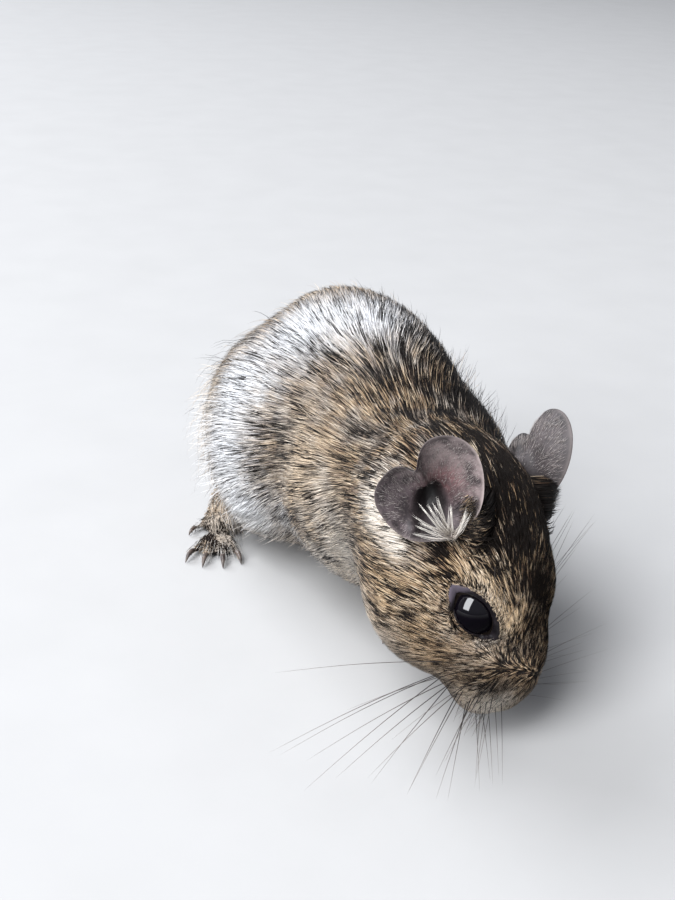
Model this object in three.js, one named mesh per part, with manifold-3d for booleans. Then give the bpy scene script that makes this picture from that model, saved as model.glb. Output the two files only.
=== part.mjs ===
// A life-size degu that crouches on the floor with its head lowered and turned a little to its left.
// Millimetres, +Z up, the floor at z = 0. The animal faces -Y, and +X is its left side.
// Each part of the body is one closed solid, whose surface is the outside of the coat.
import * as THREE from "three";
import { mergeVertices } from "three/addons/utils/BufferGeometryUtils.js";
import Module from "manifold-3d";

const wasm = await Module();
wasm.setup();

// Driving dimensions
const GAP = 0.3; // between parts that touch
const SIDES = { right: -1, left: 1 };
const TRUNK = { middle: [0, 12, 34.2], half: [23, 40.5, 30.3], tilt: -4 };
const HAUNCH = { out: 17, middle: [25, 27], half: [13, 23, 23.3], cut: [16, 23.5, 25] };
const CHEST = { middle: [1.5, -12, 30], radius: 21.7 };
const SHOULDER = { out: 8, middle: [-17, 36], half: [14.2, 13, 14.2] };
const NECK = { radius: 15.5 };
const HEAD = { middle: [4, -51.7, 26], pitch: 55.7, yaw: 33.8, roll: 8.6 };
const EYE = { along: -0.9, out: 9.1, up: 3.1, radius: 5, lid: 0.8 };
const BROW = { middle: [-1.5, 7.2, 7.4], half: [6.5, 4.4, 4.6] };
const EAR = { radius: 8.5, thick: 0.9, rearLobe: [0.9, 175, 28] };
// Each ear's place and turn on the head. A lobe or notch is its height, its angle round the rim
// and its width in degrees.
const EAR_POSES = {
  right: {
    place: [-22.6, 19, 10.2],
    facing: [0.42, 0.84, 0.34],
    spin: -22,
    cup: 4.3,
    upperLobe: [3.7, 75, 42],
    notch: [3.3, 117, 13],
  },
  left: {
    place: [-17.8, 19.6, 11],
    facing: [0.53, 0.8, 0.3],
    spin: -30,
    cup: 2.8,
    upperLobe: [2.9, 62, 45],
    notch: [3.2, 122, 16],
  },
};
const WHISKER = { root: 0.32, length: 40, rows: 2, columns: 4 };
const HIND_FOOT = { ankle: [17, 38, 13], heel: [20.5, 46], ball: [27, 26.5], claw: 3 };
const HAND = { elbow: [6, -3, 12], wrist: [6, -14, 4.6], palm: [6.5, -18.5], claw: 2.2 };
const HANDS_SHIFT = 8.5; // both hands stand this far to the left of the trunk's middle
const TAIL = { radii: [4.4, 3.7, 3.1, 2.8, 2.6, 2.2, 1.2], cuts: [0.36, 0.64] };
const TUFT = { locks: 14, start: 0.66, end: 0.95, length: 17, width: 1.6 };

const turn = THREE.MathUtils.degToRad;
const mix = THREE.MathUtils.lerp;
const vec = (x, y, z) => new THREE.Vector3(x, y, z);
const quaternion = (x, y, z, order) =>
  new THREE.Quaternion().setFromEuler(new THREE.Euler(turn(x), turn(y), turn(z), order));
const UP = vec(0, 0, 1);

// The head's own directions: forward to the nose, out to its left, and up to the crown
const headTurn = quaternion(HEAD.pitch, HEAD.roll, HEAD.yaw, "ZXY");
const FORWARD = vec(0, -1, 0).applyQuaternion(headTurn);
const headDirection = (along, out, up) => vec(out, -along, up).applyQuaternion(headTurn);
const headPoint = (along, out, up) => headDirection(along, out, up).add(vec(...HEAD.middle));

// Repeatable draws between 0 and 1
function seeded(seed) {
  let state = seed;
  return () => {
    state = (state * 16807) % 2147483647;
    return state / 2147483647;
  };
}

// Soft masses: each gives about how far a point lies outside it, below zero inside
function egg(middle, half, rotation = new THREE.Quaternion()) {
  const back = rotation.clone().invert();
  return (point) => {
    const local = point.clone().sub(middle).applyQuaternion(back).divide(half);
    const size = local.length();
    const slope = local.divide(half).length();
    return slope > 0 ? (size * (size - 1)) / slope : -Math.min(half.x, half.y, half.z);
  };
}

// A round bar that changes its radius from one end to the other
function bar(from, to, radiusFrom, radiusTo) {
  const line = new THREE.Line3(from, to);
  const near = vec(0, 0, 0);
  return (point) => {
    const share = line.closestPointToPointParameter(point, true);
    line.at(share, near);
    return near.distanceTo(point) - mix(radiusFrom, radiusTo, share);
  };
}

// Masses joined with a fillet about as wide as soft
function blend(soft, masses) {
  return (point) => {
    let nearest = Infinity;
    for (const mass of masses) {
      const distance = mass(point);
      const overlap = Math.max(soft - Math.abs(nearest - distance), 0) / soft;
      nearest = Math.min(nearest, distance) - (overlap * overlap * soft) / 4;
    }
    return nearest;
  };
}

function headEgg(along, out, up, [length, width, height]) {
  return egg(headPoint(along, out, up), vec(width, length, height), headTurn);
}

// Skull, bridge of the nose, muzzle, the full cheeks and the ridge over each eye
const [browAlong, browOut, browUp] = BROW.middle;
const headMass = blend(5, [
  headEgg(-11, 0, 0.5, [18, 14, 15.5]),
  headEgg(3, 0, -1.3, [16, 10.8, 11]),
  headEgg(10, 0, -5, [9.5, 7.6, 7.5]),
  ...[-1, 1].map((side) => headEgg(-4.5, side * 6.5, -7.5, [13.5, 10.2, 11.2])),
  ...[-1, 1].map((side) => headEgg(browAlong, side * browOut, browUp, BROW.half)),
]);

// Two soft pads carry the whiskers, with the nose between them and the lower jaw below
const muzzleMass = blend(1.6, [
  ...[-1, 1].map((side) => headEgg(14.5, side * 3.4, -7.2, [4.8, 4.3, 4.2])),
  headEgg(12, 0, -10, [5.6, 4.2, 3.6]),
  headEgg(18.6, 0, -4.3, [1.7, 2.5, 1.9]),
]);

// The same mass on both sides of the trunk
const paired = ({ out, middle, half }) =>
  blend(4, [-1, 1].map((side) => egg(vec(side * out, ...middle), vec(...half))));

const trunkMass = blend(8, [
  egg(vec(...TRUNK.middle), vec(...TRUNK.half), quaternion(TRUNK.tilt, 0, 0)),
  bar(vec(...CHEST.middle), headPoint(-19, 0, 0), CHEST.radius, NECK.radius),
  paired(SHOULDER),
]);

const bodyMass = blend(8, [trunkMass, paired(HAUNCH), blend(2.5, [headMass, muzzleMass])]);

// A closed solid from a geometry whose shared points are merged first. A mirrored one is turned
// inside out again, so that its faces always point outwards.
function solid(geometry) {
  const bare = geometry.clone();
  bare.deleteAttribute("normal");
  bare.deleteAttribute("uv");
  const merged = mergeVertices(bare, 1e-4);
  const corners = merged.index.array;
  const triangles = [];
  for (let i = 0; i < corners.length; i += 3) {
    const [a, b, c] = corners.slice(i, i + 3);
    if (a !== b && b !== c && c !== a) triangles.push(a, b, c);
  }
  const made = (corner) =>
    new wasm.Manifold(
      new wasm.Mesh({
        numProp: 3,
        vertProperties: new Float32Array(merged.attributes.position.array),
        triVerts: new Uint32Array(corner),
      }),
    );
  const shape = made(triangles);
  return shape.volume() > 0 ? shape : made(triangles.reverse());
}

// A closed surface made by moving each point of a sphere: at(round, along) places the one at the
// angle round and at the share along from end to end
function moulded(sides, rings, at) {
  const geometry = new THREE.SphereGeometry(1, sides, rings);
  const { position, uv } = geometry.attributes;
  for (let i = 0; i < position.count; i += 1) {
    const point = at(2 * Math.PI * uv.getX(i), 1 - uv.getY(i));
    position.setXYZ(i, point.x, point.y, point.z);
  }
  return solid(geometry);
}

// Where a line from inside a mass first comes to a level of it, within reach
function surface(mass, from, direction, level, reach) {
  const point = from.clone();
  let far = 0;
  let step = 0;
  while (far < reach && mass(point) < level) {
    step = Math.max(0.3, 0.7 * (level - mass(point)));
    far += step;
    point.copy(from).addScaledVector(direction, far);
  }
  let near = far - step;
  for (let i = 0; i < 20; i += 1) {
    const middle = (near + far) / 2;
    point.copy(from).addScaledVector(direction, middle);
    if (mass(point) < level) near = middle;
    else far = middle;
  }
  return point.copy(from).addScaledVector(direction, far);
}

// The body's surface round a path inside it, with a rounded cap on each end
function wrapped(points, sides, rings, cap, reach = 80) {
  const path = new THREE.CatmullRomCurve3(points);
  const frames = path.computeFrenetFrames(rings, false);
  return (level) =>
    moulded(sides, rings, (round, along) => {
      const share = THREE.MathUtils.clamp((along - cap) / (1 - 2 * cap), 0, 1);
      const index = Math.round(share * rings);
      const lean = Math.min(along / cap, 1) - Math.min((1 - along) / cap, 1);
      const angle = (Math.PI / 2) * (1 + lean);
      const direction = vec(0, 0, 0)
        .addScaledVector(frames.normals[index], Math.sin(angle) * Math.cos(round))
        .addScaledVector(frames.binormals[index], -Math.sin(angle) * Math.sin(round))
        .addScaledVector(frames.tangents[index], -Math.cos(angle));
      return surface(bodyMass, path.getPointAt(share), direction.normalize(), level, reach);
    });
}

// A round or flat bar along a smooth line through the points, with its radius given at even shares
// of its length. wide and high stretch its section across and along the up direction.
function limb(points, radii, { sides = 8, rings = 8, up = UP, wide = 1, high = 1 } = {}) {
  const path = new THREE.CatmullRomCurve3(points);
  return moulded(sides, rings, (round, along) => {
    const tangent = path.getTangent(along);
    const across = vec(0, 0, 0).crossVectors(tangent, up).normalize();
    const over = vec(0, 0, 0).crossVectors(across, tangent);
    const stage = along * (radii.length - 1);
    const index = Math.min(Math.floor(stage), radii.length - 2);
    const radius = mix(radii[index], radii[index + 1], stage - index);
    const rounded = radius * Math.sqrt(1 - Math.abs(2 * along - 1) ** 6);
    return path
      .getPoint(along)
      .addScaledVector(across, rounded * wide * Math.cos(round))
      .addScaledVector(over, rounded * high * Math.sin(round));
  });
}

function joined(solids) {
  return solids.reduce((sum, next) => sum.add(next));
}

// The largest closed surface of a solid, which leaves loose scraps and sealed hollows out
function largest(shape) {
  return shape.decompose().reduce((best, next) => (next.volume() > best.volume() ? next : best));
}

// A block that fills everything on the far side of a plane
function beyond(point, normal) {
  const block = new THREE.BoxGeometry(400, 400, 400).translate(0, 0, 200);
  block.applyQuaternion(new THREE.Quaternion().setFromUnitVectors(UP, normal));
  return solid(block.translate(point.x, point.y, point.z));
}

// Both sides of a cut, with a gap between them
function parted(shape, { point, normal }) {
  const ahead = shape.intersect(beyond(point.clone().addScaledVector(normal, GAP), normal));
  return [ahead, shape.subtract(beyond(point, normal))];
}

const ground = beyond(vec(0, 0, 0), vec(0, 0, -1));

// The coat's surface, taken round the trunk, the neck, the head and each haunch
const aroundTrunk = wrapped([vec(1, -20, 33), vec(0, -4, 33), vec(0, 14, 33), vec(0, 32, 30)], 30, 22, 0.24);
const aroundNeck = wrapped([headPoint(-14, 0, 0), vec(0, -30, 36), vec(0.5, -14, 33)], 30, 14, 0.2);
const aroundHead = wrapped(
  [headPoint(13, 0, -4.5), headPoint(1, 0, -2.5), headPoint(-11, 0, -1), headPoint(-20, 0, 0)],
  30,
  22,
  0.24,
  24,
);
const aroundHaunch = (side) => wrapped([vec(side * 17, 14, 27), vec(side * 17, 36, 26)], 20, 12, 0.3);

const neckCut = { point: vec(0, -24, 36), normal: vec(0.1, -0.98, -0.17).normalize() };
const headCut = { point: vec(-1.4, -39.5, 49), normal: vec(0.3, -0.93, -0.2).normalize() };
const muzzleCut = { point: headPoint(7.2, 0, 0), normal: FORWARD };

const [, torsoWhole] = parted(aroundTrunk(0), neckCut);
const [, neck] = parted(parted(aroundNeck(0), neckCut)[0], headCut);
const [muzzleWhole, skull] = parted(parted(aroundHead(0), headCut)[0], muzzleCut);

// Takes what lies inside the body off a piece that grows from it
function trimmed(piece, outlines) {
  return outlines.reduce((left, outline) => left.subtract(outline), piece);
}
const headClear = [aroundHead(GAP), aroundNeck(GAP), aroundTrunk(GAP)];

// Eyes, each in a socket of the head with a low lid round it
function eyeball(side, radius) {
  const middle = headPoint(EYE.along, side * EYE.out, EYE.up);
  return solid(new THREE.SphereGeometry(radius, 16, 12).translate(middle.x, middle.y, middle.z));
}

function lid(side) {
  const facing = headDirection(0.25, side * 0.92, 0.3).normalize();
  const rim = new THREE.TorusGeometry(EYE.radius - 0.1, EYE.lid, 6, 18);
  rim.applyQuaternion(new THREE.Quaternion().setFromUnitVectors(UP, facing));
  const middle = headPoint(EYE.along, side * EYE.out, EYE.up).addScaledVector(facing, 1.9);
  return solid(rim.translate(middle.x, middle.y, middle.z));
}

// A smooth bump of height 1 at one angle round a circle, and about as wide as width on each side
function bump(round, centre, width) {
  const apart = Math.acos(THREE.MathUtils.clamp(Math.cos(round - turn(centre)), -1, 1));
  return Math.exp(-((apart / turn(width)) ** 2));
}

// An ear is a thin cup on a short root, with a notch behind its upper lobe
function ear(side, pose) {
  const [along, out, up] = pose.place;
  const [ahead, outward, upwards] = pose.facing;
  const facing = headDirection(ahead, side * outward, upwards).normalize();
  const upward = headDirection(-0.5, side * 0.1, 0.86)
    .projectOnPlane(facing)
    .normalize()
    .applyAxisAngle(facing, turn(pose.spin * side));
  const frontward = vec(0, 0, 0).crossVectors(upward, facing).multiplyScalar(-side);
  const middle = headPoint(along, side * out, up);
  const cup = moulded(24, 8, (round, stage) => {
    const raised = ([height, centre, width]) => height * bump(round, centre, width);
    const rim = EAR.radius + raised(pose.upperLobe) + raised(EAR.rearLobe) - raised(pose.notch);
    const share = Math.sin(Math.PI * stage);
    const radius = rim * share;
    const depth = pose.cup * (1 - share ** 2.4);
    const half = (EAR.thick / 2) * Math.cos(Math.PI * stage) * (2 - share);
    return middle
      .clone()
      .addScaledVector(frontward, radius * Math.cos(round))
      .addScaledVector(upward, radius * Math.sin(round))
      .addScaledVector(facing, half - depth);
  });
  const floor = middle.clone().addScaledVector(facing, -pose.cup - 0.6);
  const start = headPoint(along + 3.6, side * 6, 3);
  const root = limb([start, floor], [6, 4.6], { up: FORWARD, rings: 5 });
  return joined([cup, root]);
}

// Mouth, cleft and nostrils are shallow grooves in the muzzle
function groove(points, radius) {
  const line = points.map((point) => headPoint(...point));
  return limb(line, [radius, radius], { sides: 6, rings: 9, up: FORWARD });
}
const mouth = [[8, -6.4, -11], [14, -5, -11.4], [17.6, 0, -10.4], [14, 5, -11.4], [8, 6.4, -11]];
const cleft = [[20.4, 0, -5.6], [19.6, 0, -8], [17.8, 0, -10.4]];
const nostril = (side) => [[20.3, side * 1, -4.6], [20, side * 1.9, -3.9], [19, side * 2.6, -3.9]];

// Whiskers: rows on each side, fanned from beside the cheek to ahead of the nose
function whiskers(side) {
  const hairs = [];
  for (let row = 0; row < WHISKER.rows; row += 1) {
    for (let column = 0; column < WHISKER.columns; column += 1) {
      const root = headPoint(10.8 + 1.7 * column, side * (6 - 0.9 * column), -5.2 - 2.6 * row);
      const sweep = -0.4 + 0.5 * column + 0.2 * row;
      const out = headDirection(sweep, side, 0).setZ(0.3 - 0.06 * column - 0.22 * row).normalize();
      const length = WHISKER.length * (0.95 - 0.08 * column - 0.06 * row);
      const middle = root.clone().addScaledVector(out, length / 2);
      const tip = root.clone().addScaledVector(out, length);
      tip.z -= 0.06 * length;
      hairs.push(limb([root, middle, tip], [WHISKER.root, 0.28, 0.12], { sides: 3, rings: 4 }));
    }
  }
  return joined(hairs);
}

// Toes spread from one point, each with a curved claw that ends just above the floor
function toes(root, forward, { angles, lengths, radius, claw }) {
  const across = vec(-forward.y, forward.x, 0);
  const digits = angles.map((angle, index) => {
    const out = forward.clone().applyAxisAngle(UP, turn(angle));
    const start = root.clone().addScaledVector(across, Math.sin(turn(angle)) * radius * 4.4);
    const at = (far, height) => start.clone().addScaledVector(out, far).setZ(height);
    const long = lengths[index];
    const finger = limb(
      [at(-2, radius * 1.4), at(long * 0.5, radius * 0.8), at(long, radius * 0.7)],
      [radius * 1.1, radius * 1.05, radius * 0.8],
      { sides: 6, rings: 5 },
    );
    const nail = limb(
      [at(long - 1, radius), at(long + claw * 0.5, radius * 0.95), at(long + claw, 0.25)],
      [radius * 0.55, radius * 0.42, 0.12],
      { sides: 5, rings: 4 },
    );
    return finger.add(nail);
  });
  return joined(digits);
}

// Hind foot: the ankle out of the haunch, the long sole, four front toes and a short inner one
function hindFoot(side, outlines) {
  const [ankleX, ankleY, ankleZ] = HIND_FOOT.ankle;
  const heel = vec(side * HIND_FOOT.heel[0], HIND_FOOT.heel[1], 3.4);
  const ball = vec(side * HIND_FOOT.ball[0], HIND_FOOT.ball[1], 2.6);
  const forward = ball.clone().sub(heel).setZ(0).normalize();
  const middle = heel.clone().lerp(ball, 0.5).setZ(3.2);
  const ankle = limb([vec(side * ankleX, ankleY, ankleZ), heel], [6.2, 3.9], { rings: 6, up: forward });
  const sole = limb([heel, middle, ball], [3.6, 3.4, 3.8, 4.1], { wide: 1.15, high: 0.85, rings: 8 });
  const front = toes(ball, forward, {
    angles: [-21, -7, 7, 21].map((angle) => angle * -side),
    lengths: [8, 9.3, 9.3, 7.6],
    radius: 1.5,
    claw: HIND_FOOT.claw,
  });
  const inner = toes(middle, forward, { angles: [side * 30], lengths: [7], radius: 1.2, claw: 2 });
  return trimmed(joined([ankle, sole, front, inner]), [ground, ...outlines]);
}

// Fore leg and hand: the forearm comes from under the chest to a small hand flat on the floor
function foreLimb(side) {
  const at = ([x, y, z]) => vec(side * x + HANDS_SHIFT, y, z);
  const wrist = at(HAND.wrist).setZ(2.6);
  const palm = at([...HAND.palm, 1.5]);
  const forearmLine = [at(HAND.elbow), at(HAND.wrist), palm];
  const forearm = limb(forearmLine, [4.4, 3.2, 2.6], { rings: 7, up: vec(0, -1, 0) });
  const forward = palm.clone().sub(wrist).setZ(0).normalize();
  const pad = limb([wrist, palm], [2.8, 3], { wide: 1.1, high: 0.75, rings: 6 });
  const fingers = toes(palm, forward, {
    angles: [-27, -9, 9, 27].map((angle) => angle * -side),
    lengths: [4.6, 5.6, 5.4, 4.2],
    radius: 1.05,
    claw: HAND.claw,
  });
  const cut = { point: at(HAND.wrist).add(vec(0, 1.5, 0)), normal: vec(0, -0.9, -0.44).normalize() };
  return parted(joined([forearm, pad, fingers]), cut);
}

// Tail: along the floor behind the body in a slack bend, with a brush of stiff hair at its end
const tailLine = new THREE.CatmullRomCurve3([
  vec(0, 42, 15),
  vec(-0.5, 51, 10),
  vec(-1, 62, 4.4),
  vec(2, 79, 2.8),
  vec(10, 97, 2.5),
  vec(21, 114, 2.4),
  vec(31, 131, 2.3),
  vec(36, 149, 2),
]);

function brush() {
  const random = seeded(7);
  const locks = [];
  for (let i = 0; i < TUFT.locks; i += 1) {
    const share = mix(TUFT.start, TUFT.end, i / (TUFT.locks - 1));
    const root = tailLine.getPointAt(share);
    const along = tailLine.getTangentAt(share);
    const round = i * 2.4 + random() * 0.5;
    const across = vec(0, 0, 0).crossVectors(along, UP).normalize();
    const out = across.multiplyScalar(Math.cos(round)).setZ(Math.abs(Math.sin(round)));
    const length = TUFT.length * mix(0.85, 1.15, random());
    const width = TUFT.width * mix(0.85, 1.15, random());
    const at = (far, off) => root.clone().addScaledVector(along, far * length).addScaledVector(out, off);
    locks.push(
      limb([at(-0.05, 0.4), at(0.5, 3.2), at(1, 3.9)], [width * 0.8, width, 0.7, 0.25], {
        sides: 5,
        rings: 5,
        up: out,
        high: 0.5,
      }),
    );
  }
  return joined(locks);
}

const parts = {};
let torso = torsoWhole;
let head = skull;
let muzzle = muzzleWhole.subtract(groove(mouth, 0.55)).subtract(groove(cleft, 0.4));
for (const [name, side] of Object.entries(SIDES)) {
  const region = (spare) => {
    const [x, y, z] = HAUNCH.cut;
    const outline = new THREE.SphereGeometry(1, 20, 14).scale(x + spare, y + spare, z + spare);
    return solid(outline.translate(side * (HAUNCH.out + 3), HAUNCH.middle[0], HAUNCH.middle[1] - 1));
  };
  const haunch = aroundHaunch(side);
  parts[`thigh_${name}`] = haunch(0).intersect(region(0));
  torso = torso.subtract(region(GAP));
  parts[`hind_foot_${name}`] = hindFoot(side, [haunch(GAP), aroundTrunk(GAP)]);
  const [hand, foreLeg] = foreLimb(side);
  parts[`fore_leg_${name}`] = trimmed(foreLeg, [ground, ...headClear]);
  parts[`hand_${name}`] = trimmed(hand, [ground, ...headClear]);
  parts[`ear_${name}`] = trimmed(ear(side, EAR_POSES[name]), headClear);
  head = head.add(lid(side)).subtract(eyeball(side, EYE.radius + GAP));
  parts[`eye_${name}`] = eyeball(side, EYE.radius);
  muzzle = muzzle.subtract(groove(nostril(side), 0.5)).add(whiskers(side));
}
parts.torso = torso;
parts.neck = neck;
parts.head = head;
parts.muzzle = muzzle;

const tailRoundings = { rings: 26, sides: 8 };
let tail = trimmed(limb(tailLine.getSpacedPoints(14), TAIL.radii, tailRoundings), [aroundTrunk(GAP)]);
TAIL.cuts.forEach((share, index) => {
  const cut = { point: tailLine.getPointAt(share), normal: tailLine.getTangentAt(share) };
  const [behind, before] = parted(tail, cut);
  parts[["tail_root", "tail_middle"][index]] = before.subtract(ground);
  tail = behind;
});
parts.tail_tip = tail.add(brush()).subtract(ground);

// Materials
const coat = new THREE.MeshStandardMaterial({ color: 0x7a6248, roughness: 0.9 });
const bareSkin = new THREE.MeshStandardMaterial({ color: 0x4a3b3a, roughness: 0.7 });
const wetEye = new THREE.MeshStandardMaterial({ color: 0x0b0a0d, roughness: 0.08 });
const paleFoot = new THREE.MeshStandardMaterial({ color: 0x9a938c, roughness: 0.85 });
const darkBrush = new THREE.MeshStandardMaterial({ color: 0x2a2320, roughness: 0.9 });

function finish(name) {
  if (name.startsWith("eye_")) return wetEye;
  if (name.startsWith("ear_")) return bareSkin;
  if (name.startsWith("hind_foot_") || name.startsWith("hand_")) return paleFoot;
  return name === "tail_tip" ? darkBrush : coat;
}

const animal = new THREE.Group();
for (const [name, shape] of Object.entries(parts)) {
  const mesh = largest(shape).getMesh();
  const geometry = new THREE.BufferGeometry();
  geometry.setAttribute("position", new THREE.BufferAttribute(mesh.vertProperties.slice(), 3));
  geometry.setIndex(new THREE.BufferAttribute(mesh.triVerts.slice(), 1));
  const part = new THREE.Mesh(geometry, finish(name));
  part.name = name;
  animal.add(part);
}

// The origin is on the floor under the middle of the whole animal
const box = new THREE.Box3().setFromObject(animal);
const centre = box.getCenter(vec(0, 0, 0));
animal.position.set(-centre.x, -centre.y, -box.min.z);

const degu = new THREE.Group();
degu.add(animal);
export default degu;
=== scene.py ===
import math

import bmesh
import bpy
import numpy as np
from mathutils import Matrix, Vector
from mathutils.bvhtree import BVHTree
from mathutils.kdtree import KDTree


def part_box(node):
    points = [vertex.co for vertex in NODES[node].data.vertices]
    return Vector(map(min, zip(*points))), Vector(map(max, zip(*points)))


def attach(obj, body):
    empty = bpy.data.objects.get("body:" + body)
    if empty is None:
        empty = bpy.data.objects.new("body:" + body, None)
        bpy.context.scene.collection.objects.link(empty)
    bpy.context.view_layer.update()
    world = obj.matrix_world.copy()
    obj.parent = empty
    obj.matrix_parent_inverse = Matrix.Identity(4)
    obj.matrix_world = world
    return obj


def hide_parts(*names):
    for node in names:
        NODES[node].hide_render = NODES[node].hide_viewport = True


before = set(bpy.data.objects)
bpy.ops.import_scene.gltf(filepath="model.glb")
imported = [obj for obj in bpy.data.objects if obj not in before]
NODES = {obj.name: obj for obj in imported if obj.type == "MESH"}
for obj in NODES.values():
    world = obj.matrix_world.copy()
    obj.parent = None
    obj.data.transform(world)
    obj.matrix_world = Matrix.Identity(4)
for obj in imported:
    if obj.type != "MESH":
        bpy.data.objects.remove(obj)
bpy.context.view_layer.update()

# A crouching degu with its head lowered and turned a little to its left. Sizes are in millimetres
# in the animal's own frame: it faces -Y, +X is its left, and the floor is at z = 0.
MM = 0.001

# Driving dimensions
HEAD = {"middle": (4, -51.7, 26), "pitch": 55.7, "yaw": 33.8, "roll": 8.6}
EYE = {"along": -0.9, "out": 9.1, "up": 3.1, "radius": 5.0, "ball": 4.75, "facing": (0.08, 0.88, 0.46)}
EAR = {"radius": 8.5, "thick": 0.7, "rear_lobe": (0.9, 175, 28)}
# Each ear's place and turn on the head. A lobe or notch is its height, its angle round the rim and
# its width in degrees.
EAR_POSES = {
    "right": {
        "place": (-22.6, 19, 10.2),
        "facing": (0.42, 0.84, 0.34),
        "spin": -22,
        "cup": 4.3,
        "upper_lobe": (3.7, 75, 42),
        "notch": (-3.3, 117, 13),
    },
    "left": {
        "place": (-17.8, 19.6, 11),
        "facing": (0.53, 0.8, 0.3),
        "spin": -30,
        "cup": 2.8,
        "upper_lobe": (2.9, 62, 45),
        "notch": (-3.2, 122, 16),
    },
}
HIND_FOOT = {"heel": (20.5, 46), "ball": (27, 26.5)}
HAND = {"wrist": (6, -14), "palm": (6.5, -18.5), "shift": 8.5}
SIDES = {"right": -1, "left": 1}
CAMERA = {"target": (-11.46, -11.18, 39.32), "azimuth": -19.12, "elevation": 24.35, "roll": 2.9,
          "distance": 262.2, "lens": 52}
VOXEL = 0.5
TAIL_LINE = [(0, 42, 15), (-0.5, 51, 10), (-1, 62, 4.4), (2, 79, 2.8), (10, 97, 2.5),
             (21, 114, 2.4), (31, 131, 2.3), (36, 149, 2)]
TAIL_RADII = [3.6, 2.9, 2.4, 2.1, 1.9, 1.6, 1.1, 0.7]

# Reach of the coat by distance behind the nose: hair length, hair width, and the coat's depth
COAT_REACH = [0, 8, 20, 38, 58, 90, 130]
COAT_LENGTH = [1.4, 2.2, 3.2, 5, 8.5, 10.5, 12]
COAT_WIDTH = [0.17, 0.19, 0.2, 0.21, 0.22, 0.24, 0.24]
COAT_DEPTH = [0.3, 0.42, 0.6, 1.0, 1.7, 2.1, 2.2]


def turn_of_head():
    pitch, roll, yaw = (math.radians(HEAD[name]) for name in ("pitch", "roll", "yaw"))
    turned = Matrix.Rotation(yaw, 3, "Z") @ Matrix.Rotation(pitch, 3, "X")
    return turned @ Matrix.Rotation(roll, 3, "Y")


HEAD_TURN = turn_of_head()
HEAD_ARRAY = np.array(HEAD_TURN)


def head_direction(along, out, up):
    return HEAD_TURN @ Vector((out, -along, up))


def middle_of(node):
    low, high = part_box(node)
    return (low + high) / 2


EYE_FROM_HEAD = head_direction(EYE["along"], -EYE["out"], EYE["up"])
ORIGIN = middle_of("eye_right") - (EYE_FROM_HEAD + Vector(HEAD["middle"])) * MM


def place(x, y, z):
    return ORIGIN + Vector((x, y, z)) * MM


def head_place(along, out, up):
    return place(*(head_direction(along, out, up) + Vector(HEAD["middle"])))


def to_body(points):
    """Points in metres in the frame, as millimetres in the animal's own frame"""
    return (points - np.array(ORIGIN)) / MM


def to_head(points):
    """Points of the animal's own frame as along, out and up from the middle of the head"""
    local = (points - np.array(HEAD["middle"])) @ HEAD_ARRAY
    return np.stack([-local[:, 1], local[:, 0], local[:, 2]], axis=1)


def from_head(vectors):
    """Directions along, out and up of the head, in the animal's own frame"""
    local = np.stack([vectors[:, 1], -vectors[:, 0], vectors[:, 2]], axis=1)
    return local @ HEAD_ARRAY.T


def unit(vectors):
    return vectors / np.maximum(np.linalg.norm(vectors, axis=-1, keepdims=True), 1e-9)


def smooth(low, high, values):
    share = np.clip((values - low) / (high - low), 0, 1)
    return share * share * (3 - 2 * share)


def bell_at(points, middle, half):
    """1 at the middle, falling off softly over the half sizes"""
    away = (points - np.array(middle)) / np.array(half)
    return np.exp(-np.sum(away**2, axis=1))


# Meshes

def new_object(name, mesh, *materials):
    made = bpy.data.objects.new(name, mesh)
    bpy.context.scene.collection.objects.link(made)
    for material in materials:
        mesh.materials.append(material)
    return made


def put_in_order(shape):
    """Gives the faces one fixed order, because the one that the operators leave varies by run"""
    shape.verts.index_update()
    shape.verts.ensure_lookup_table()
    rows = []
    for face in shape.faces:
        row = [vertex.index for vertex in face.verts]
        first = row.index(min(row))
        rows.append(row[first:] + row[:first])
    bmesh.ops.delete(shape, geom=shape.faces[:], context="FACES_ONLY")
    for row in sorted(rows):
        shape.faces.new([shape.verts[index] for index in row])


def object_from(name, shape, *materials):
    mesh = bpy.data.meshes.new(name)
    shape.to_mesh(mesh)
    shape.free()
    mesh.polygons.foreach_set("use_smooth", [True] * len(mesh.polygons))
    return new_object(name, mesh, *materials)


def applied(made):
    """The object with its modifiers worked into its mesh"""
    ready = made.evaluated_get(bpy.context.evaluated_depsgraph_get())
    mesh = bpy.data.meshes.new_from_object(ready)
    made.modifiers.clear()
    old = made.data
    made.data = mesh
    bpy.data.meshes.remove(old)
    return made


def positions(mesh):
    points = np.empty(len(mesh.vertices) * 3, np.float32)
    mesh.vertices.foreach_get("co", points)
    return points.reshape(-1, 3).astype(float)


def vertex_normals(mesh):
    normals = np.empty(len(mesh.vertices) * 3, np.float32)
    mesh.vertex_normals.foreach_get("vector", normals)
    return normals.reshape(-1, 3).astype(float)


def smooth_line(points, share):
    """The point at a share of a smooth line through the points, and the line's direction there"""
    stage = min(max(share, 0), 1) * (len(points) - 1)
    index = min(int(stage), len(points) - 2)
    t = stage - index
    a = points[max(index - 1, 0)]
    b, c = points[index], points[index + 1]
    d = points[min(index + 2, len(points) - 1)]
    at = 0.5 * (2 * b + (c - a) * t + (2 * a - 5 * b + 4 * c - d) * t**2 + (3 * b - a - 3 * c + d) * t**3)
    aim = 0.5 * ((c - a) + 2 * (2 * a - 5 * b + 4 * c - d) * t + 3 * (3 * b - a - 3 * c + d) * t**2)
    return at, aim.normalized()


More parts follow.
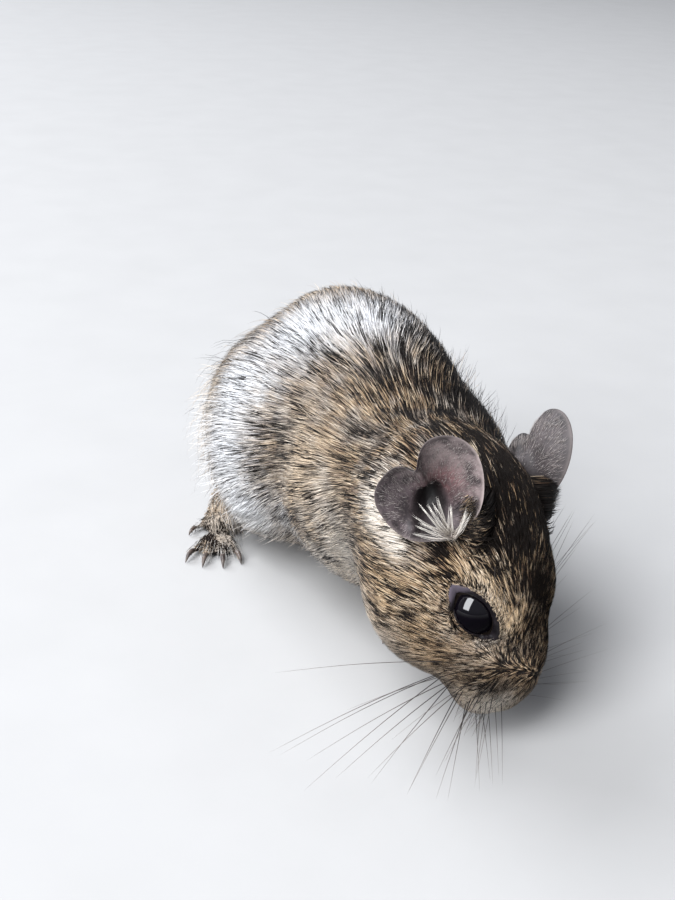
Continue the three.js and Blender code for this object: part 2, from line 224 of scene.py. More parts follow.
def moulded(shape, sides, rings, at):
    """Adds a closed surface made by moving each point of a sphere to at(round, along)"""
    made = bmesh.ops.create_uvsphere(shape, u_segments=sides, v_segments=rings, radius=1)
    for vertex in made["verts"]:
        round_angle = math.atan2(vertex.co.y, vertex.co.x)
        along = math.acos(max(-1, min(1, -vertex.co.z))) / math.pi
        vertex.co = at(round_angle, along)
    faces = list({face for vertex in made["verts"] for face in vertex.link_faces})
    bmesh.ops.recalc_face_normals(shape, faces=faces)
    if sum(face.calc_center_median().dot(face.normal) * face.calc_area() for face in faces) < 0:
        bmesh.ops.reverse_faces(shape, faces=faces)
    return made["verts"]


def limb(shape, points, radii, sides=12, rings=10, up=Vector((0, 0, 1)), wide=1, high=1, blunt=6):
    """Adds a round or flat bar along a smooth line, its radius given at even shares of its length"""
    def at(round_angle, along):
        centre, tangent = smooth_line(points, along)
        across = tangent.cross(up).normalized()
        over = across.cross(tangent)
        stage = along * (len(radii) - 1)
        index = min(int(stage), len(radii) - 2)
        radius = radii[index] + (radii[index + 1] - radii[index]) * (stage - index)
        radius *= math.sqrt(max(0, 1 - abs(2 * along - 1) ** blunt))
        return centre + (across * wide * math.cos(round_angle) + over * high * math.sin(round_angle)) * radius
    return moulded(shape, sides, rings, at)


# Node materials

class Wire:
    """A socket that Python's arithmetic works on by adding Math nodes"""

    def __init__(self, board, socket):
        self.board = board
        self.socket = socket

    def _math(self, operation, first, second=0.0):
        return self.board.node("ShaderNodeMath", {"operation": operation}, {0: first, 1: second})

    def __add__(self, other):
        return self._math("ADD", self, other)

    __radd__ = __add__

    def __sub__(self, other):
        return self._math("SUBTRACT", self, other)

    def __rsub__(self, other):
        return self._math("SUBTRACT", other, self)

    def __mul__(self, other):
        return self._math("MULTIPLY", self, other)

    def least(self, other):
        return self._math("MINIMUM", self, other)

    def part(self):
        return self._math("FRACT", self)

    def over(self, limit):
        return self._math("GREATER_THAN", self, limit)

    def ramp(self, low, high):
        """0 below low, 1 above high, and a soft step between"""
        settings = {"interpolation_type": "SMOOTHSTEP"}
        return self.board.node("ShaderNodeMapRange", settings, {0: self, 1: low, 2: high})


class Board:
    """A material's node tree, with one method that adds any node"""

    def __init__(self, name, **values):
        self.material = bpy.data.materials.new(name)
        self.material.use_nodes = True
        self.nodes = self.material.node_tree.nodes
        self.links = self.material.node_tree.links
        self.shader = next(node for node in self.nodes if node.type == "BSDF_PRINCIPLED")
        self.set(**values)

    def set(self, **values):
        for name, value in values.items():
            self.plug(self.shader.inputs[name.replace("_", " ")], value)

    def plug(self, socket, value):
        if isinstance(value, Wire):
            self.links.new(value.socket, socket)
        elif isinstance(value, tuple) and len(value) == 3 and socket.type == "RGBA":
            socket.default_value = (*value, 1)
        else:
            socket.default_value = value

    def node(self, kind, settings=None, values=None, output=0):
        made = self.nodes.new(kind)
        for name, value in (settings or {}).items():
            if name == "stops":
                while len(made.color_ramp.elements) < len(value):
                    made.color_ramp.elements.new(0.5)
                for stop, (position, colour) in zip(made.color_ramp.elements, value):
                    stop.position = position
                    stop.color = (*colour, 1)
            else:
                setattr(made, name, value)
        for name, value in (values or {}).items():
            self.plug(made.inputs[name], value)
        return Wire(self, made.outputs[output])

    def mix(self, share, first, second):
        """Two colours mixed by a share"""
        settings = {"data_type": "RGBA"}
        return self.node("ShaderNodeMix", settings, {0: share, 6: first, 7: second}, 2)

    def place(self):
        """Object coordinates in metres"""
        return self.node("ShaderNodeTexCoord", output=3)

    def noise(self, scale, detail):
        values = {"Vector": self.place(), "Scale": scale, "Detail": detail}
        return self.node("ShaderNodeTexNoise", None, values)

    def bump(self, height, distance, strength):
        values = {"Height": height, "Distance": distance, "Strength": strength}
        self.set(Normal=self.node("ShaderNodeBump", None, values))


# Colours of single hairs, in linear light
DARK_HAIR = (0.010, 0.007, 0.0055)
ROOT_HAIR = (0.046, 0.034, 0.027)
BROWN_HAIR = (0.17, 0.105, 0.065)
OCHRE_HAIR = (0.42, 0.29, 0.165)
BUFF_HAIR = (0.72, 0.58, 0.42)
GOLD_HAIR = (0.68, 0.48, 0.26)
PALE_HAIR = (0.86, 0.8, 0.72)
# Near white, for greyish-white hair tips and for a sheen of the lamp on the hair that is painted into the
# colour
GREY_TIP_AND_SHEEN_HAIR = (0.88, 0.89, 0.91)


def marks_of(board):
    """The weights painted on the piece: pale, dark, grey tips with painted sheen, and warm"""
    settings = {"attribute_name": "markings"}
    split = board.node("ShaderNodeSeparateColor", None, {0: board.node("ShaderNodeAttribute", settings)})
    weights = [Wire(board, split.socket.node.outputs[index]) for index in range(3)]
    return [*weights, board.node("ShaderNodeAttribute", settings, output=3)]


def hair_colour(board, along, draw, blotch=0.8, grey=0.75):
    """The colour along one hair: ticked ochre, dark or pale, by its draw and the markings there.
    blotch is the strength of the patches, and grey how far the hair turns grey in places."""
    pale, dark, grey_tips_and_sheen, warm = marks_of(board)
    patches = board.noise(210, 3) - 0.5
    tone = (draw * 17.3).part() * 0.85 + warm * 0.3 + patches * 0.7
    stops = {"stops": [(0.1, BROWN_HAIR), (0.5, OCHRE_HAIR), (0.95, BUFF_HAIR)]}
    greys = {"stops": [(0.1, (0.11, 0.092, 0.082)), (0.5, (0.31, 0.27, 0.235)), (0.95, (0.7, 0.64, 0.57))]}
    cool = board.noise(130, 2).ramp(0.42, 0.6) * (1 - warm) * grey
    band = board.mix(cool, board.node("ShaderNodeValToRGB", stops, {0: tone}),
                     board.node("ShaderNodeValToRGB", greys, {0: tone}))
    band = board.mix(warm * 0.45, band, GOLD_HAIR)
    band = board.mix((pale * 0.95).least(1.0), band, PALE_HAIR)
    # The third weight whitens the hair: partly greyish-white tips, partly a painted sheen of the lamp
    band = board.mix(grey_tips_and_sheen, band, GREY_TIP_AND_SHEEN_HAIR)
    light = (pale + grey_tips_and_sheen).least(1.0)
    root = board.mix(light * 0.95, ROOT_HAIR, band)
    ticked = board.mix(along.ramp(0.1, 0.45), root, band)
    tipped = board.mix(along.ramp(0.78, 1.0) * 0.8 * (1 - light), ticked, DARK_HAIR)
    share = 0.42 + dark * 0.58 - pale * 0.38 - grey_tips_and_sheen * 0.34 - warm * 0.34 - patches * (1 - grey_tips_and_sheen) * blotch
    return board.mix(1 - draw.over(share), tipped, DARK_HAIR)


def strand_of(board):
    """How far along its hair a point is, and the hair's own draw"""
    strand = board.node("ShaderNodeUVMap", {"uv_map": "Strand"})
    split = board.node("ShaderNodeSeparateXYZ", None, {0: strand}).socket.node
    return Wire(board, split.outputs[0]), Wire(board, split.outputs[1])


def coat_material(name, blotch, grey):
    board = Board(name, Roughness=0.5, Specular_IOR_Level=0.14)
    board.set(Base_Color=hair_colour(board, *strand_of(board), blotch, grey))
    return board.material


def skin_material():
    """Short hair painted under the coat: fine streaks of the same colours"""
    board = Board("skin", Roughness=0.7, Specular_IOR_Level=0.05)
    streaks = board.noise(2600, 4)
    along = board.noise(1300, 2)
    board.set(Base_Color=hair_colour(board, along * 0.5, streaks))
    board.bump(streaks, 0.0002, 0.6)
    return board.material


def ear_material():
    board = Board("ear_skin", Roughness=0.6)
    maroon, opening_shade_and_back_tone, rim, upper = marks_of(board)
    patches = board.noise(330, 4)
    grain = board.noise(2600, 3)
    colour = board.mix(patches.ramp(0.35, 0.65), (0.026, 0.019, 0.021), (0.105, 0.08, 0.086))
    colour = board.mix(upper * patches.ramp(0.3, 0.66) * 0.95, colour, (0.27, 0.215, 0.21))
    colour = board.mix(maroon * patches.ramp(0.2, 0.6), colour, (0.13, 0.045, 0.048))
    colour = board.mix(grain.ramp(0.5, 0.75) * 0.4, colour, (0.24, 0.2, 0.19))
    colour = board.mix(rim * 0.6, colour, (0.42, 0.35, 0.33))
    # Near black in the ear's deep opening, as painted shade, and a darker tone over the ear's back
    colour = board.mix(opening_shade_and_back_tone, colour, (0.006, 0.004, 0.004))
    board.set(Base_Color=colour)
    board.bump(grain, 0.00015, 0.5)
    return board.material


def plain_material(name, low, high, scale, roughness, bump=0.0001, **more):
    """Two near colours in fine patches, with a fine grain"""
    board = Board(name, Roughness=roughness, **more)
    patches = board.noise(scale, 4)
    board.set(Base_Color=board.mix(patches.ramp(0.3, 0.7), low, high))
    board.bump(board.noise(scale * 5, 3), bump, 0.6)
    return board.material


def lid_material():
    """Dark moist skin, greyer at the hind corner of the eye"""
    board = Board("lid", Roughness=0.45, Specular_IOR_Level=0.12)
    hind = marks_of(board)[0]
    colour = board.mix(board.noise(900, 4).ramp(0.3, 0.7), (0.003, 0.002, 0.003), (0.014, 0.011, 0.013))
    board.set(Base_Color=board.mix(hind * 0.5, colour, (0.19, 0.16, 0.2)))
    board.bump(board.noise(4500, 3), 0.0001, 0.6)
    return board.material


def strand_material(name, root, tip, roughness):
    """A hair that changes from its root's colour to its tip's"""
    board = Board(name, Roughness=roughness)
    along, draw = strand_of(board)
    board.set(Base_Color=board.mix((along + draw * 0.3 - 0.15).ramp(0.1, 0.9), root, tip))
    return board.material


def eye_material():
    board = Board("eye", Roughness=0.03, IOR=1.4, Specular_IOR_Level=0.02, Coat_IOR=1.5, Coat_Roughness=0.02)
    board.set(Base_Color=board.mix(board.noise(900, 4), (0.001, 0.001, 0.0015), (0.003, 0.002, 0.004)))
    # The coat's reflection fades towards the bottom of the eye: painted shade for the lower half, which the
    # lower lid and the cheek's fur shade
    height = Wire(board, board.node("ShaderNodeSeparateXYZ", None, {0: board.place()}).socket.node.outputs[2])
    level = middle_of("eye_right").z
    board.set(Coat_Weight=height.ramp(level + 0.4 * MM, level + 2.2 * MM) * 0.99 + 0.01)
    return board.material


COAT = coat_material("coat", 0.8, 0.75)
FACE_COAT = coat_material("face_coat", 0.35, 0.35)
SKIN = skin_material()
EAR_SKIN = ear_material()
WET_EYE = eye_material()
CLAW = plain_material("claw", (0.03, 0.022, 0.02), (0.12, 0.09, 0.075), 700, 0.35)
LID_SKIN = lid_material()
NOSE = plain_material("nose", (0.05, 0.035, 0.033), (0.14, 0.085, 0.08), 1200, 0.35)
WHISKER = strand_material("whisker", (0.012, 0.01, 0.01), (0.2, 0.17, 0.15), 0.35)
EAR_FUZZ = strand_material("ear_fuzz", (0.2, 0.16, 0.15), (0.55, 0.5, 0.47), 0.5)
EAR_HAIR = strand_material("ear_hair", (0.5, 0.44, 0.38), (0.85, 0.8, 0.73), 0.5)
BRUSH_HAIR = strand_material("brush_hair", (0.02, 0.015, 0.013), (0.05, 0.038, 0.03), 0.5)
FOOT_HAIR = strand_material("foot_hair", (0.3, 0.27, 0.24), (0.72, 0.7, 0.67), 0.5)


# Each ear has a plane of its own, with places in it given ahead, up and out from its middle

def ear_frame(name):
    pose, side = EAR_POSES[name], SIDES[name]
    ahead, outward, upwards = pose["facing"]
    facing = head_direction(ahead, side * outward, upwards).normalized()
    upward = head_direction(-0.5, side * 0.1, 0.86)
    upward = (upward - facing * upward.dot(facing)).normalized()
    upward.rotate(Matrix.Rotation(math.radians(pose["spin"] * side), 3, facing))
    frontward = upward.cross(facing) * -side
    along, out, up = pose["place"]
    return head_place(along, side * out, up), facing, upward, frontward


def ear_plane(name, points):
    """Places in an ear's plane as points in the animal's own frame"""
    middle, facing, upward, frontward = ear_frame(name)
    return to_body(np.array(middle)[None])[0] + points @ np.array((frontward, upward, facing))


def from_ear_plane(name, points):
    middle, facing, upward, frontward = ear_frame(name)
    return (points - to_body(np.array(middle)[None])[0]) @ np.array((frontward, upward, facing)).T


# In the ear's own plane, ahead and up from its middle: the fold that runs down from the notch,
# the deep opening, the reddish skin ahead of it, the low curl behind it and the hollow at the front.
# The last two have the square of their width and their height.
FOLD = ((-3.4, 6.8), (-1.2, 1.6))
PIT = ((0.5, -3.2), (2.5, 3.8))
PIT_DEPTH = 4.0
FLUSH = ((2.4, 1.4), (3.6, 3.2))
CURL = ((-2.4, -6.2), 1.1**2, 1.3)
HOLLOW = ((4, 4), 14, -0.5)
FOLD_HEIGHT, FOLD_WIDTH = 1.5, 1.1
# How the skin gives way under the opening
EAR_DENT = {"width": 5, "depth": 5, "level": -8, "reach": 11}


# The coat's length, markings and lie

def reach(points):
    nose = np.array(HEAD["middle"]) + np.array(head_direction(19, 0, -4))
    return np.linalg.norm(points - nose, axis=1)


def head_spot(along, out, up):
    return np.array(HEAD["middle"]) + np.array(head_direction(along, out, up))


def eye_spot(side):
    return head_spot(EYE["along"], side * EYE["out"], EYE["up"])


def from_eyes(points):
    """Distance from the nearer eye's middle"""
    return np.min([np.linalg.norm(points - eye_spot(side), axis=1) for side in SIDES.values()], axis=0)


# The almonds of the lids: round the opening, where the fur begins, and at the lids' outer edge.
# Each has its middle, ahead and over from the eye's, and half its length and width. The aim is the
# direction of their length on the head.
LID = {
    "aim": (0.97, 0, 0.25),
    "opening": ((0.15, -0.25), (4.9, 2.75)),
    "fur": ((0, 0), (6.3, 3.0)),
    "edge": ((0, 0), (6.9, 3.6)),
    "thick": 0.3,
}
SOCKET = 4.2  # how far from the middle of the eye the skin lies behind the eyeball


def almond(across, half_length, half_width):
    """The distance of an almond's outline from its middle, by the sine of the angle to its length"""
    shift = (half_length**2 - half_width**2) / (2 * half_width)
    return np.sqrt(half_length**2 + (shift * across) ** 2) - shift * np.abs(across)


def past_lids(points):
    """How far a point lies beyond the almond outline of the nearer eye"""
    in_head = to_head(points)
    away = np.stack([in_head[:, 0], np.abs(in_head[:, 1]), in_head[:, 2]], axis=1)
    away -= (EYE["along"], EYE["out"], EYE["up"])
    facing = unit(np.array(EYE["facing"]))
    aim = np.array(LID["aim"])
    aim = unit(aim - facing * (aim @ facing))
    (ahead, over), size = LID["fur"]
    lengthways, sideways = away @ aim - ahead, away @ np.cross(aim, facing) - over
    far = np.maximum(np.hypot(lengthways, sideways), 1e-6)
    return np.hypot(far, np.minimum(away @ facing, 0)) - almond(sideways / far, *size)


def coat_value(points, values):
    return np.interp(reach(points), COAT_REACH, values)


def coat_depth(points):
    """How deep the skin lies under the coat: less round the eyes and towards the feet"""
    depth = coat_value(points, COAT_DEPTH)
    depth = depth * (0.25 + 0.75 * smooth(2, 14, points[:, 2]))
    return depth * smooth(EYE["radius"] + 0.6, EYE["radius"] + 5, from_eyes(points))


# Soft spots of the markings by mark: the place, its half sizes and its strength.
# On the head the place is along, out and up, and each spot is on both sides.
HEAD_SPOTS = {
    "pale": [
        ((-2.2, 11.3, 7.9), (4.4, 1.4, 1.3), 0.55), ((5.6, 10.4, 4.0), (1.3, 2.4, 3.0), 0.6),
        ((1.2, 12.9, -0.4), (3.5, 1.2, 0.9), 0.5), ((-23.5, 14.5, -1.8), (6, 3.8, 3.5), 1.0),
        ((-16.5, 16, 0.8), (4.6, 2.8, 2.6), 1.0), ((-8, 6, -21), (24, 12, 8), 0.9),
        # The spot at (17, 4, -5.5) is the creamy fringe under the nose, spread wider than the fringe: partly
        # its own pale colour, partly painted light for the light bounced up under the muzzle
        ((3, 12, -13), (8, 5, 4), 0.35), ((17, 4, -5.5), (4.4, 4.8, 3.4), 1.0),
        ((17, 5.5, -1.5), (2.6, 3.8, 3.4), 0.9),
    ],
    "dark": [
        ((-20, 0, 16), (13, 12, 9), 1.0), ((-9, 4.5, 14), (9, 7.5, 6), 1.0),
        ((3, 0, 11), (10, 7.5, 6), 1.0), ((-7, 8, 13), (6, 4, 4), 0.7), ((12, 2, 6), (6, 5, 4), 0.5),
        ((-13.5, 14, 7.4), (2.2, 1.3, 1.4), 1.0), ((-11.2, 14.2, 6), (2, 1.2, 1.3), 1.0),
        ((-8.8, 14.4, 4.6), (2, 1.2, 1.3), 1.0), ((-15.5, 13, 9), (2.8, 2.4, 2.4), 1.0),
        ((13, 8.6, -0.6), (1.6, 1.8, 2.6), 0.9), ((-2, 13, -4), (14, 8, 8), 0.3),
        ((11, 5, 2), (7, 7, 6), 0.3),
    ],
    "warm": [
        ((-2.6, 10.6, 8.9), (4.6, 2.6, 2.4), 1.0), ((-2.2, 11.3, 7.9), (4.4, 1.5, 1.3), 1.0),
        ((3.4, 8.8, 7.2), (3.5, 2, 2.2), 1.0), ((-6, 16, -5), (10, 5, 6), 0.3),
    ],
}
# On both sides of the body
SIDE_SPOTS = {
    "pale": [
        ((0, 10, 2), (24, 40, 10), 0.85), ((27, 30, 36), (7, 9, 13), 0.5),
    ],
    "dark": [
        ((28, 26, 2), (9, 14, 6), 0.3),
    ],
    "warm": [
        ((27, 29, 37), (7, 9, 12), 0.6), ((21, 34, 46), (8, 8, 8), 0.5), ((24, 37, 10), (7, 8, 7), 0.6),
    ],
}
BACK_SPOTS = {
    "pale": [
        ((-25, 12, 14), (9, 14, 8), 0.9), ((-15, -19, 15), (7, 9, 8), 0.8),
        ((11.5, -18, 1), (9, 9, 4), 0.8),
    ],
    "dark": [
        # The first two dark spots, high on the animal's left side of the back, turned away from the window
        # lamp, are painted shade; the other two darken the nape and the tail
        ((14, -8, 55), (8, 17, 9), 1.0), ((17, -20, 45), (9, 13, 13), 0.95),
        ((5, -34, 54), (9, 11, 7), 0.7), ((0, 100, 6), (40, 55, 5), 0.55),
    ],
    # These spots whiten the top of the back and the rump's flank, mostly on the side towards the window lamp:
    # partly greyish-white hair tips, partly a painted sheen of the lamp on the hair
    "grey_tips_and_sheen": [
        ((-1, -3, 62), (11, 11, 7), 0.9), ((-13, 6, 58), (10, 12, 9), 0.95),
        ((-23, 11, 46), (9, 11, 11), 1.0), ((-28, 12, 32), (8, 12, 11), 1.0),
        ((-25, 7, 20), (9, 14, 9), 0.95), ((-21, -8, 25), (6, 7, 7), 0.4),
        ((25, 14, 34), (8, 14, 14), 0.35),
    ],
    "warm": [
        ((-2, 24, 62), (18, 12, 8), 0.4), ((-18, -20, 40), (8, 10, 9), 0.35),
    ],
}
MARKS = {"pale": 0, "dark": 1, "grey_tips_and_sheen": 2, "warm": 3}


def markings(points):
    """Four weights from 0 to 1 for each point: pale, dark, grey tips with painted sheen, and warm"""
    weights = np.zeros((len(points), 4))
    in_head = to_head(points)
    on_both = np.stack([in_head[:, 0], np.abs(in_head[:, 1]), in_head[:, 2]], axis=1)
    mirrored = np.abs(points * (1, 0, 0)) + points * (0, 1, 1)
    for places, spots in ((on_both, HEAD_SPOTS), (mirrored, SIDE_SPOTS), (points, BACK_SPOTS)):
        for mark, of_mark in spots.items():
            index = MARKS[mark]
            for middle, half, strength in of_mark:
                spot = strength * bell_at(places, middle, half)
                weights[:, index] = 1 - (1 - weights[:, index]) * (1 - spot)
    rim = 1 - smooth(0, 0.3, past_lids(points))[:, None]
    return weights * (1 - rim) + rim * np.eye(4)[MARKS["dark"]]


# How the hair lies: a place and the direction of the hair there. On the head both are along,
# out and up. The first two lists are on both sides.
HEAD_LIE = [
    ((19, 0, -2), (0.8, 0.3, -0.5)), ((16.5, 6, -4), (0.6, 0.6, -0.6)), ((15, 5, 1), (0.6, 0.7, 0.2)),
    ((10, 0, 7), (-0.8, 0.1, 0.4)), ((6, 1, 10), (-0.92, 0.09, 0.39)), ((7, 8, 6), (-0.94, 0.17, 0.3)),
    ((-6, 6, 14), (-0.94, 0.03, 0.34)), ((-17, 7, 15), (-0.97, -0.22, 0)),
    ((-8, 11, 11), (-0.96, 0.29, 0)), ((-4, 12, 7), (-0.94, 0.32, 0.14)),
    ((-9, 15, 3), (-0.87, 0.24, -0.43)), ((9, 10, -3), (-0.5, 0.6, -0.6)),
    ((2, 15, -2), (-0.75, 0.44, -0.5)), ((-8, 16, -5), (-0.7, 0.06, -0.72)),
    ((7, 11, -12), (-0.24, -0.33, -0.91)), ((-15, 15, -7), (-0.59, -0.29, -0.75)),
    ((-16, 16, -2), (-0.41, -0.15, -0.9)), ((-26, 10, -9), (-0.15, -0.65, -0.75)),
    ((5, 0, -16), (-1, 0, 0)), ((12, 8, -9), (-0.3, 0.5, -0.8)),
]
SIDE_LIE = [
    ((24, 11, 42), (0.32, 0.92, -0.21)), ((26, 10, 31), (0.33, 0.85, -0.41)),
    ((19, -10, 44), (0.29, 0.93, -0.24)), ((22, -6, 33), (0.09, 0.89, -0.45)),
    ((18, -32, 37), (0.12, 0.79, -0.6)), ((24, 8, 20), (0.14, 0.74, -0.66)),
    ((20, -9, 23), (-0.06, 0.75, -0.66)), ((17, -46, 42), (0.1, 0.9, -0.4)),
    ((16, 20, 3), (0, 0.95, -0.1)), ((0, 52, 32), (0, 0.35, -0.93)), ((24, 40, 24), (0.2, 0.6, -0.75)),
    ((29, 28, 28), (0.2, 0.8, -0.55)), ((18, 40, 46), (0.2, 0.75, -0.6)),
    ((10, -26, 16), (0.1, 0.8, -0.6)), ((23, 42, 4), (0.2, -0.9, -0.3)),
    ((28, 25, 3), (0.3, -0.95, -0.15)),
]
BACK_LIE = [
    ((-4, 10, 64), (0.17, 0.98, 0.06)), ((5, 1, 63), (0.43, 0.9, 0.04)),
    ((-10, 2, 60), (-0.04, 0.99, 0.13)), ((8, -8, 58), (0.5, 0.86, 0.08)),
    ((-17, 5, 53), (-0.2, 0.97, -0.12)), ((-12, -11, 54), (-0.36, 0.93, 0.09)),
    ((-3, -23, 54), (0, 0.99, 0.11)), ((-14, -30, 48), (-0.11, 0.96, -0.26)),
    ((0, -31, 54), (0.23, 0.97, -0.1)), ((14, -18, 50), (0.4, 0.91, -0.09)),
    ((0, 38, 58), (0, 0.9, -0.45)), ((-1, 62, 5), (0, 1, -0.3)), ((3, 84, 3), (0.3, 0.95, 0)),
    ((14, 103, 3), (0.55, 0.83, 0)), ((26, 122, 3), (0.5, 0.86, 0)), ((34, 143, 2), (0.3, 0.95, 0)),
    ((14, -16, 2), (0.05, -1, 0)), ((3, -16, 2), (-0.05, -1, 0)),
]
LIE_WIDTH = 6
# The hair parts on all sides of the eyes, and of a whorl on each side of the nose
EYE_PARTING = {"width": 2.6, "strength": 1.5}
WHORL = {"middle": (10.4, 8.4, 3.1), "edge": 0.3, "width": 3.5, "strength": 0.6}


def lie(points, normals):
    """The unit direction of the hair at each point, along the surface"""
    total = np.zeros_like(points)
    in_head = to_head(points)
    sides = tuple(SIDES.values())
    for rows, here, axis, signs in ((HEAD_LIE, in_head, 1, sides), (SIDE_LIE, points, 0, sides),
                                    (BACK_LIE, points, 0, (1,))):
        for place_at, aim in rows:
            for sign in signs:
                mirror = np.ones(3)
                mirror[axis] = sign
                away = np.linalg.norm(here - np.array(place_at) * mirror, axis=1)
                direction = np.array([aim]) * mirror
                direction = unit(from_head(direction) if rows is HEAD_LIE else direction)
                total += direction / (away**2 + LIE_WIDTH)[:, None] ** 2
    total = unit(total)
    beyond = past_lids(points)[:, None]
    for side in SIDES.values():
        away = points - eye_spot(side)
        near = np.linalg.norm(away, axis=1, keepdims=True) < 2.5 * EYE["radius"]
        total += unit(away) * near * EYE_PARTING["strength"] * (1 - smooth(0, EYE_PARTING["width"], beyond))
        along, out, up = WHORL["middle"]
        away = points - head_spot(along, side * out, up)
        far = np.linalg.norm(away, axis=1, keepdims=True)
        past_whorl = smooth(WHORL["edge"], WHORL["edge"] + WHORL["width"], far)
        total += unit(away) * WHORL["strength"] * (1 - past_whorl)
    total -= normals * np.sum(total * normals, axis=1, keepdims=True)
    return unit(total)


# The skin: one surface round the whole body, smoothed and drawn in under the coat

FLESH = ["torso", "neck", "head", "muzzle"]
for each_side in SIDES:
    FLESH += [f"{part}_{each_side}" for part in ("thigh", "hind_foot", "fore_leg", "hand")]
INFLATE = 0.2
TAIL_SIDES, TAIL_RINGS = 20, 60
SOFTENING = (("soften", 10), ("soften again", 3))  # each modifier and its number of turns
KEPT_FACES = 0.55


# The masses of the skull and muzzle: their middles and half sizes along, out and up of the head
SKULL_MASSES = [
    ((-11, 0, 0.5), (18, 14, 15.5)), ((3, 0, -1.3), (16, 10.8, 11)), ((10, 0, -5), (9.5, 7.6, 7.5)),
    ((-4.5, -6.5, -7.5), (13.5, 10.2, 11.2)), ((-4.5, 6.5, -7.5), (13.5, 10.2, 11.2)),
    ((-1.5, -7.2, 7.4), (6.5, 4.4, 4.6)), ((-1.5, 7.2, 7.4), (6.5, 4.4, 4.6)),
]
MUZZLE_MASSES = [
    ((14.5, -3.4, -7.2), (4.8, 4.3, 4.2)), ((14.5, 3.4, -7.2), (4.8, 4.3, 4.2)),
    ((12, 0, -10), (5.6, 4.2, 3.6)), ((18.6, 0, -4.3), (1.7, 2.5, 1.9)),
]
WHISKER_STUB = 0.3


def outside(local, masses):
    """About how far each point lies outside each mass"""
    far = []
    for middle, half in masses:
        scaled = (local - middle) / np.array(half)
        size = np.linalg.norm(scaled, axis=1)
        far.append(size * (size - 1) / np.linalg.norm(scaled / np.array(half), axis=1))
    return far


def blended(soft, distances):
    """Masses joined with a fillet about as wide as soft"""
    nearest = distances[0]
    for distance in distances[1:]:
        overlap = np.maximum(soft - np.abs(nearest - distance), 0) / soft
        nearest = np.minimum(nearest, distance) - overlap**2 * soft / 4
    return nearest


def without_whiskers(shape):
    """Takes the whiskers off the muzzle's copy and closes the holes that they leave"""
    local = to_head(to_body(np.array([vertex.co[:] for vertex in shape.verts])))
    skull, pads = blended(5, outside(local, SKULL_MASSES)), blended(1.6, outside(local, MUZZLE_MASSES))
    far = blended(2.5, [skull, pads])
    loose = [vertex for vertex, distance in zip(shape.verts, far) if distance > WHISKER_STUB]
    bmesh.ops.delete(shape, geom=loose, context="VERTS")
    bmesh.ops.holes_fill(shape, edges=[edge for edge in shape.edges if edge.is_boundary], sides=0)


def behind_eyes(points):
    """The skin's points, with those inside the outline of the lids drawn in behind the eyeball"""
    inside = (1 - smooth(-0.2, 0.3, past_lids(points)))[:, None]
    for side in SIDES.values():
        away = points - eye_spot(side)
        far = np.linalg.norm(away, axis=1, keepdims=True)
        share = inside * (far < 1.9 * EYE["radius"])
        points = points + (unit(away) * np.minimum(far, SOCKET) - away) * share
    return points


def soften(made, name, turns):
    modifier = made.modifiers.new(name, "SMOOTH")
    modifier.factor = 0.5
    modifier.iterations = turns


def body_skin():
    shape = bmesh.new()
    for name in FLESH:
        piece = bmesh.new()
        piece.from_mesh(NODES[name].data)
        bmesh.ops.remove_doubles(piece, verts=piece.verts, dist=1e-6)
        if name == "muzzle":
            without_whiskers(piece)
        piece.normal_update()
        for vertex in piece.verts:
            vertex.co += vertex.normal * INFLATE * MM
        copy = bpy.data.meshes.new(name)
        piece.to_mesh(copy)
        piece.free()
        shape.from_mesh(copy)
        bpy.data.meshes.remove(copy)
    tail = [place(*point) for point in TAIL_LINE]
    limb(shape, tail, [radius * MM for radius in TAIL_RADII], sides=TAIL_SIDES, rings=TAIL_RINGS)
    skin = object_from("skin", shape)
    remesh = skin.modifiers.new("one surface", "REMESH")
    remesh.mode = "VOXEL"
    remesh.voxel_size = VOXEL * MM
    remesh.use_smooth_shade = True
    soften(skin, *SOFTENING[0])
    applied(skin)
    points = positions(skin.data)
    depth = coat_depth(to_body(points)) + INFLATE
    points -= vertex_normals(skin.data) * (depth * MM)[:, None]
    for name in SIDES:
        local = from_ear_plane(name, to_body(points))
        near = bell_at(local[:, :2], PIT[0], EAR_DENT["width"])
        near *= np.abs(local[:, 2] - EAR_DENT["level"]) < EAR_DENT["reach"]
        points -= near[:, None] * np.array(ear_frame(name)[1]) * EAR_DENT["depth"] * MM
    skin.data.vertices.foreach_set("co", points.astype(np.float32).ravel())
    soften(skin, *SOFTENING[1])
    fewer = skin.modifiers.new("fewer faces", "DECIMATE")
    fewer.ratio = KEPT_FACES
    applied(skin)
    points = np.array(ORIGIN) + behind_eyes(to_body(positions(skin.data))) * MM
    points[:, 2] = np.maximum(points[:, 2], 0.05 * MM)
    skin.data.vertices.foreach_set("co", points.astype(np.float32).ravel())
    skin.data.polygons.foreach_set("use_smooth", [True] * len(skin.data.polygons))
    return skin


# Hairs: each is a thin three-sided spike along its own points, flatter than it is wide

HAIR_TRIANGLES = 190000
PATCH = 0.003


def spike_faces(rings):
    """The triangles of one closed spike with a number of points along it"""
    faces = [(0, 2, 1)]
    for ring in range(rings - 2):
        for corner in range(3):
            here, after = 3 * ring + corner, 3 * ring + (corner + 1) % 3
            faces += [(here, after, after + 3), (here, after + 3, here + 3)]
    last = 3 * (rings - 2)
    faces += [(last + corner, last + (corner + 1) % 3, last + 3) for corner in range(3)]
    return np.array(faces)


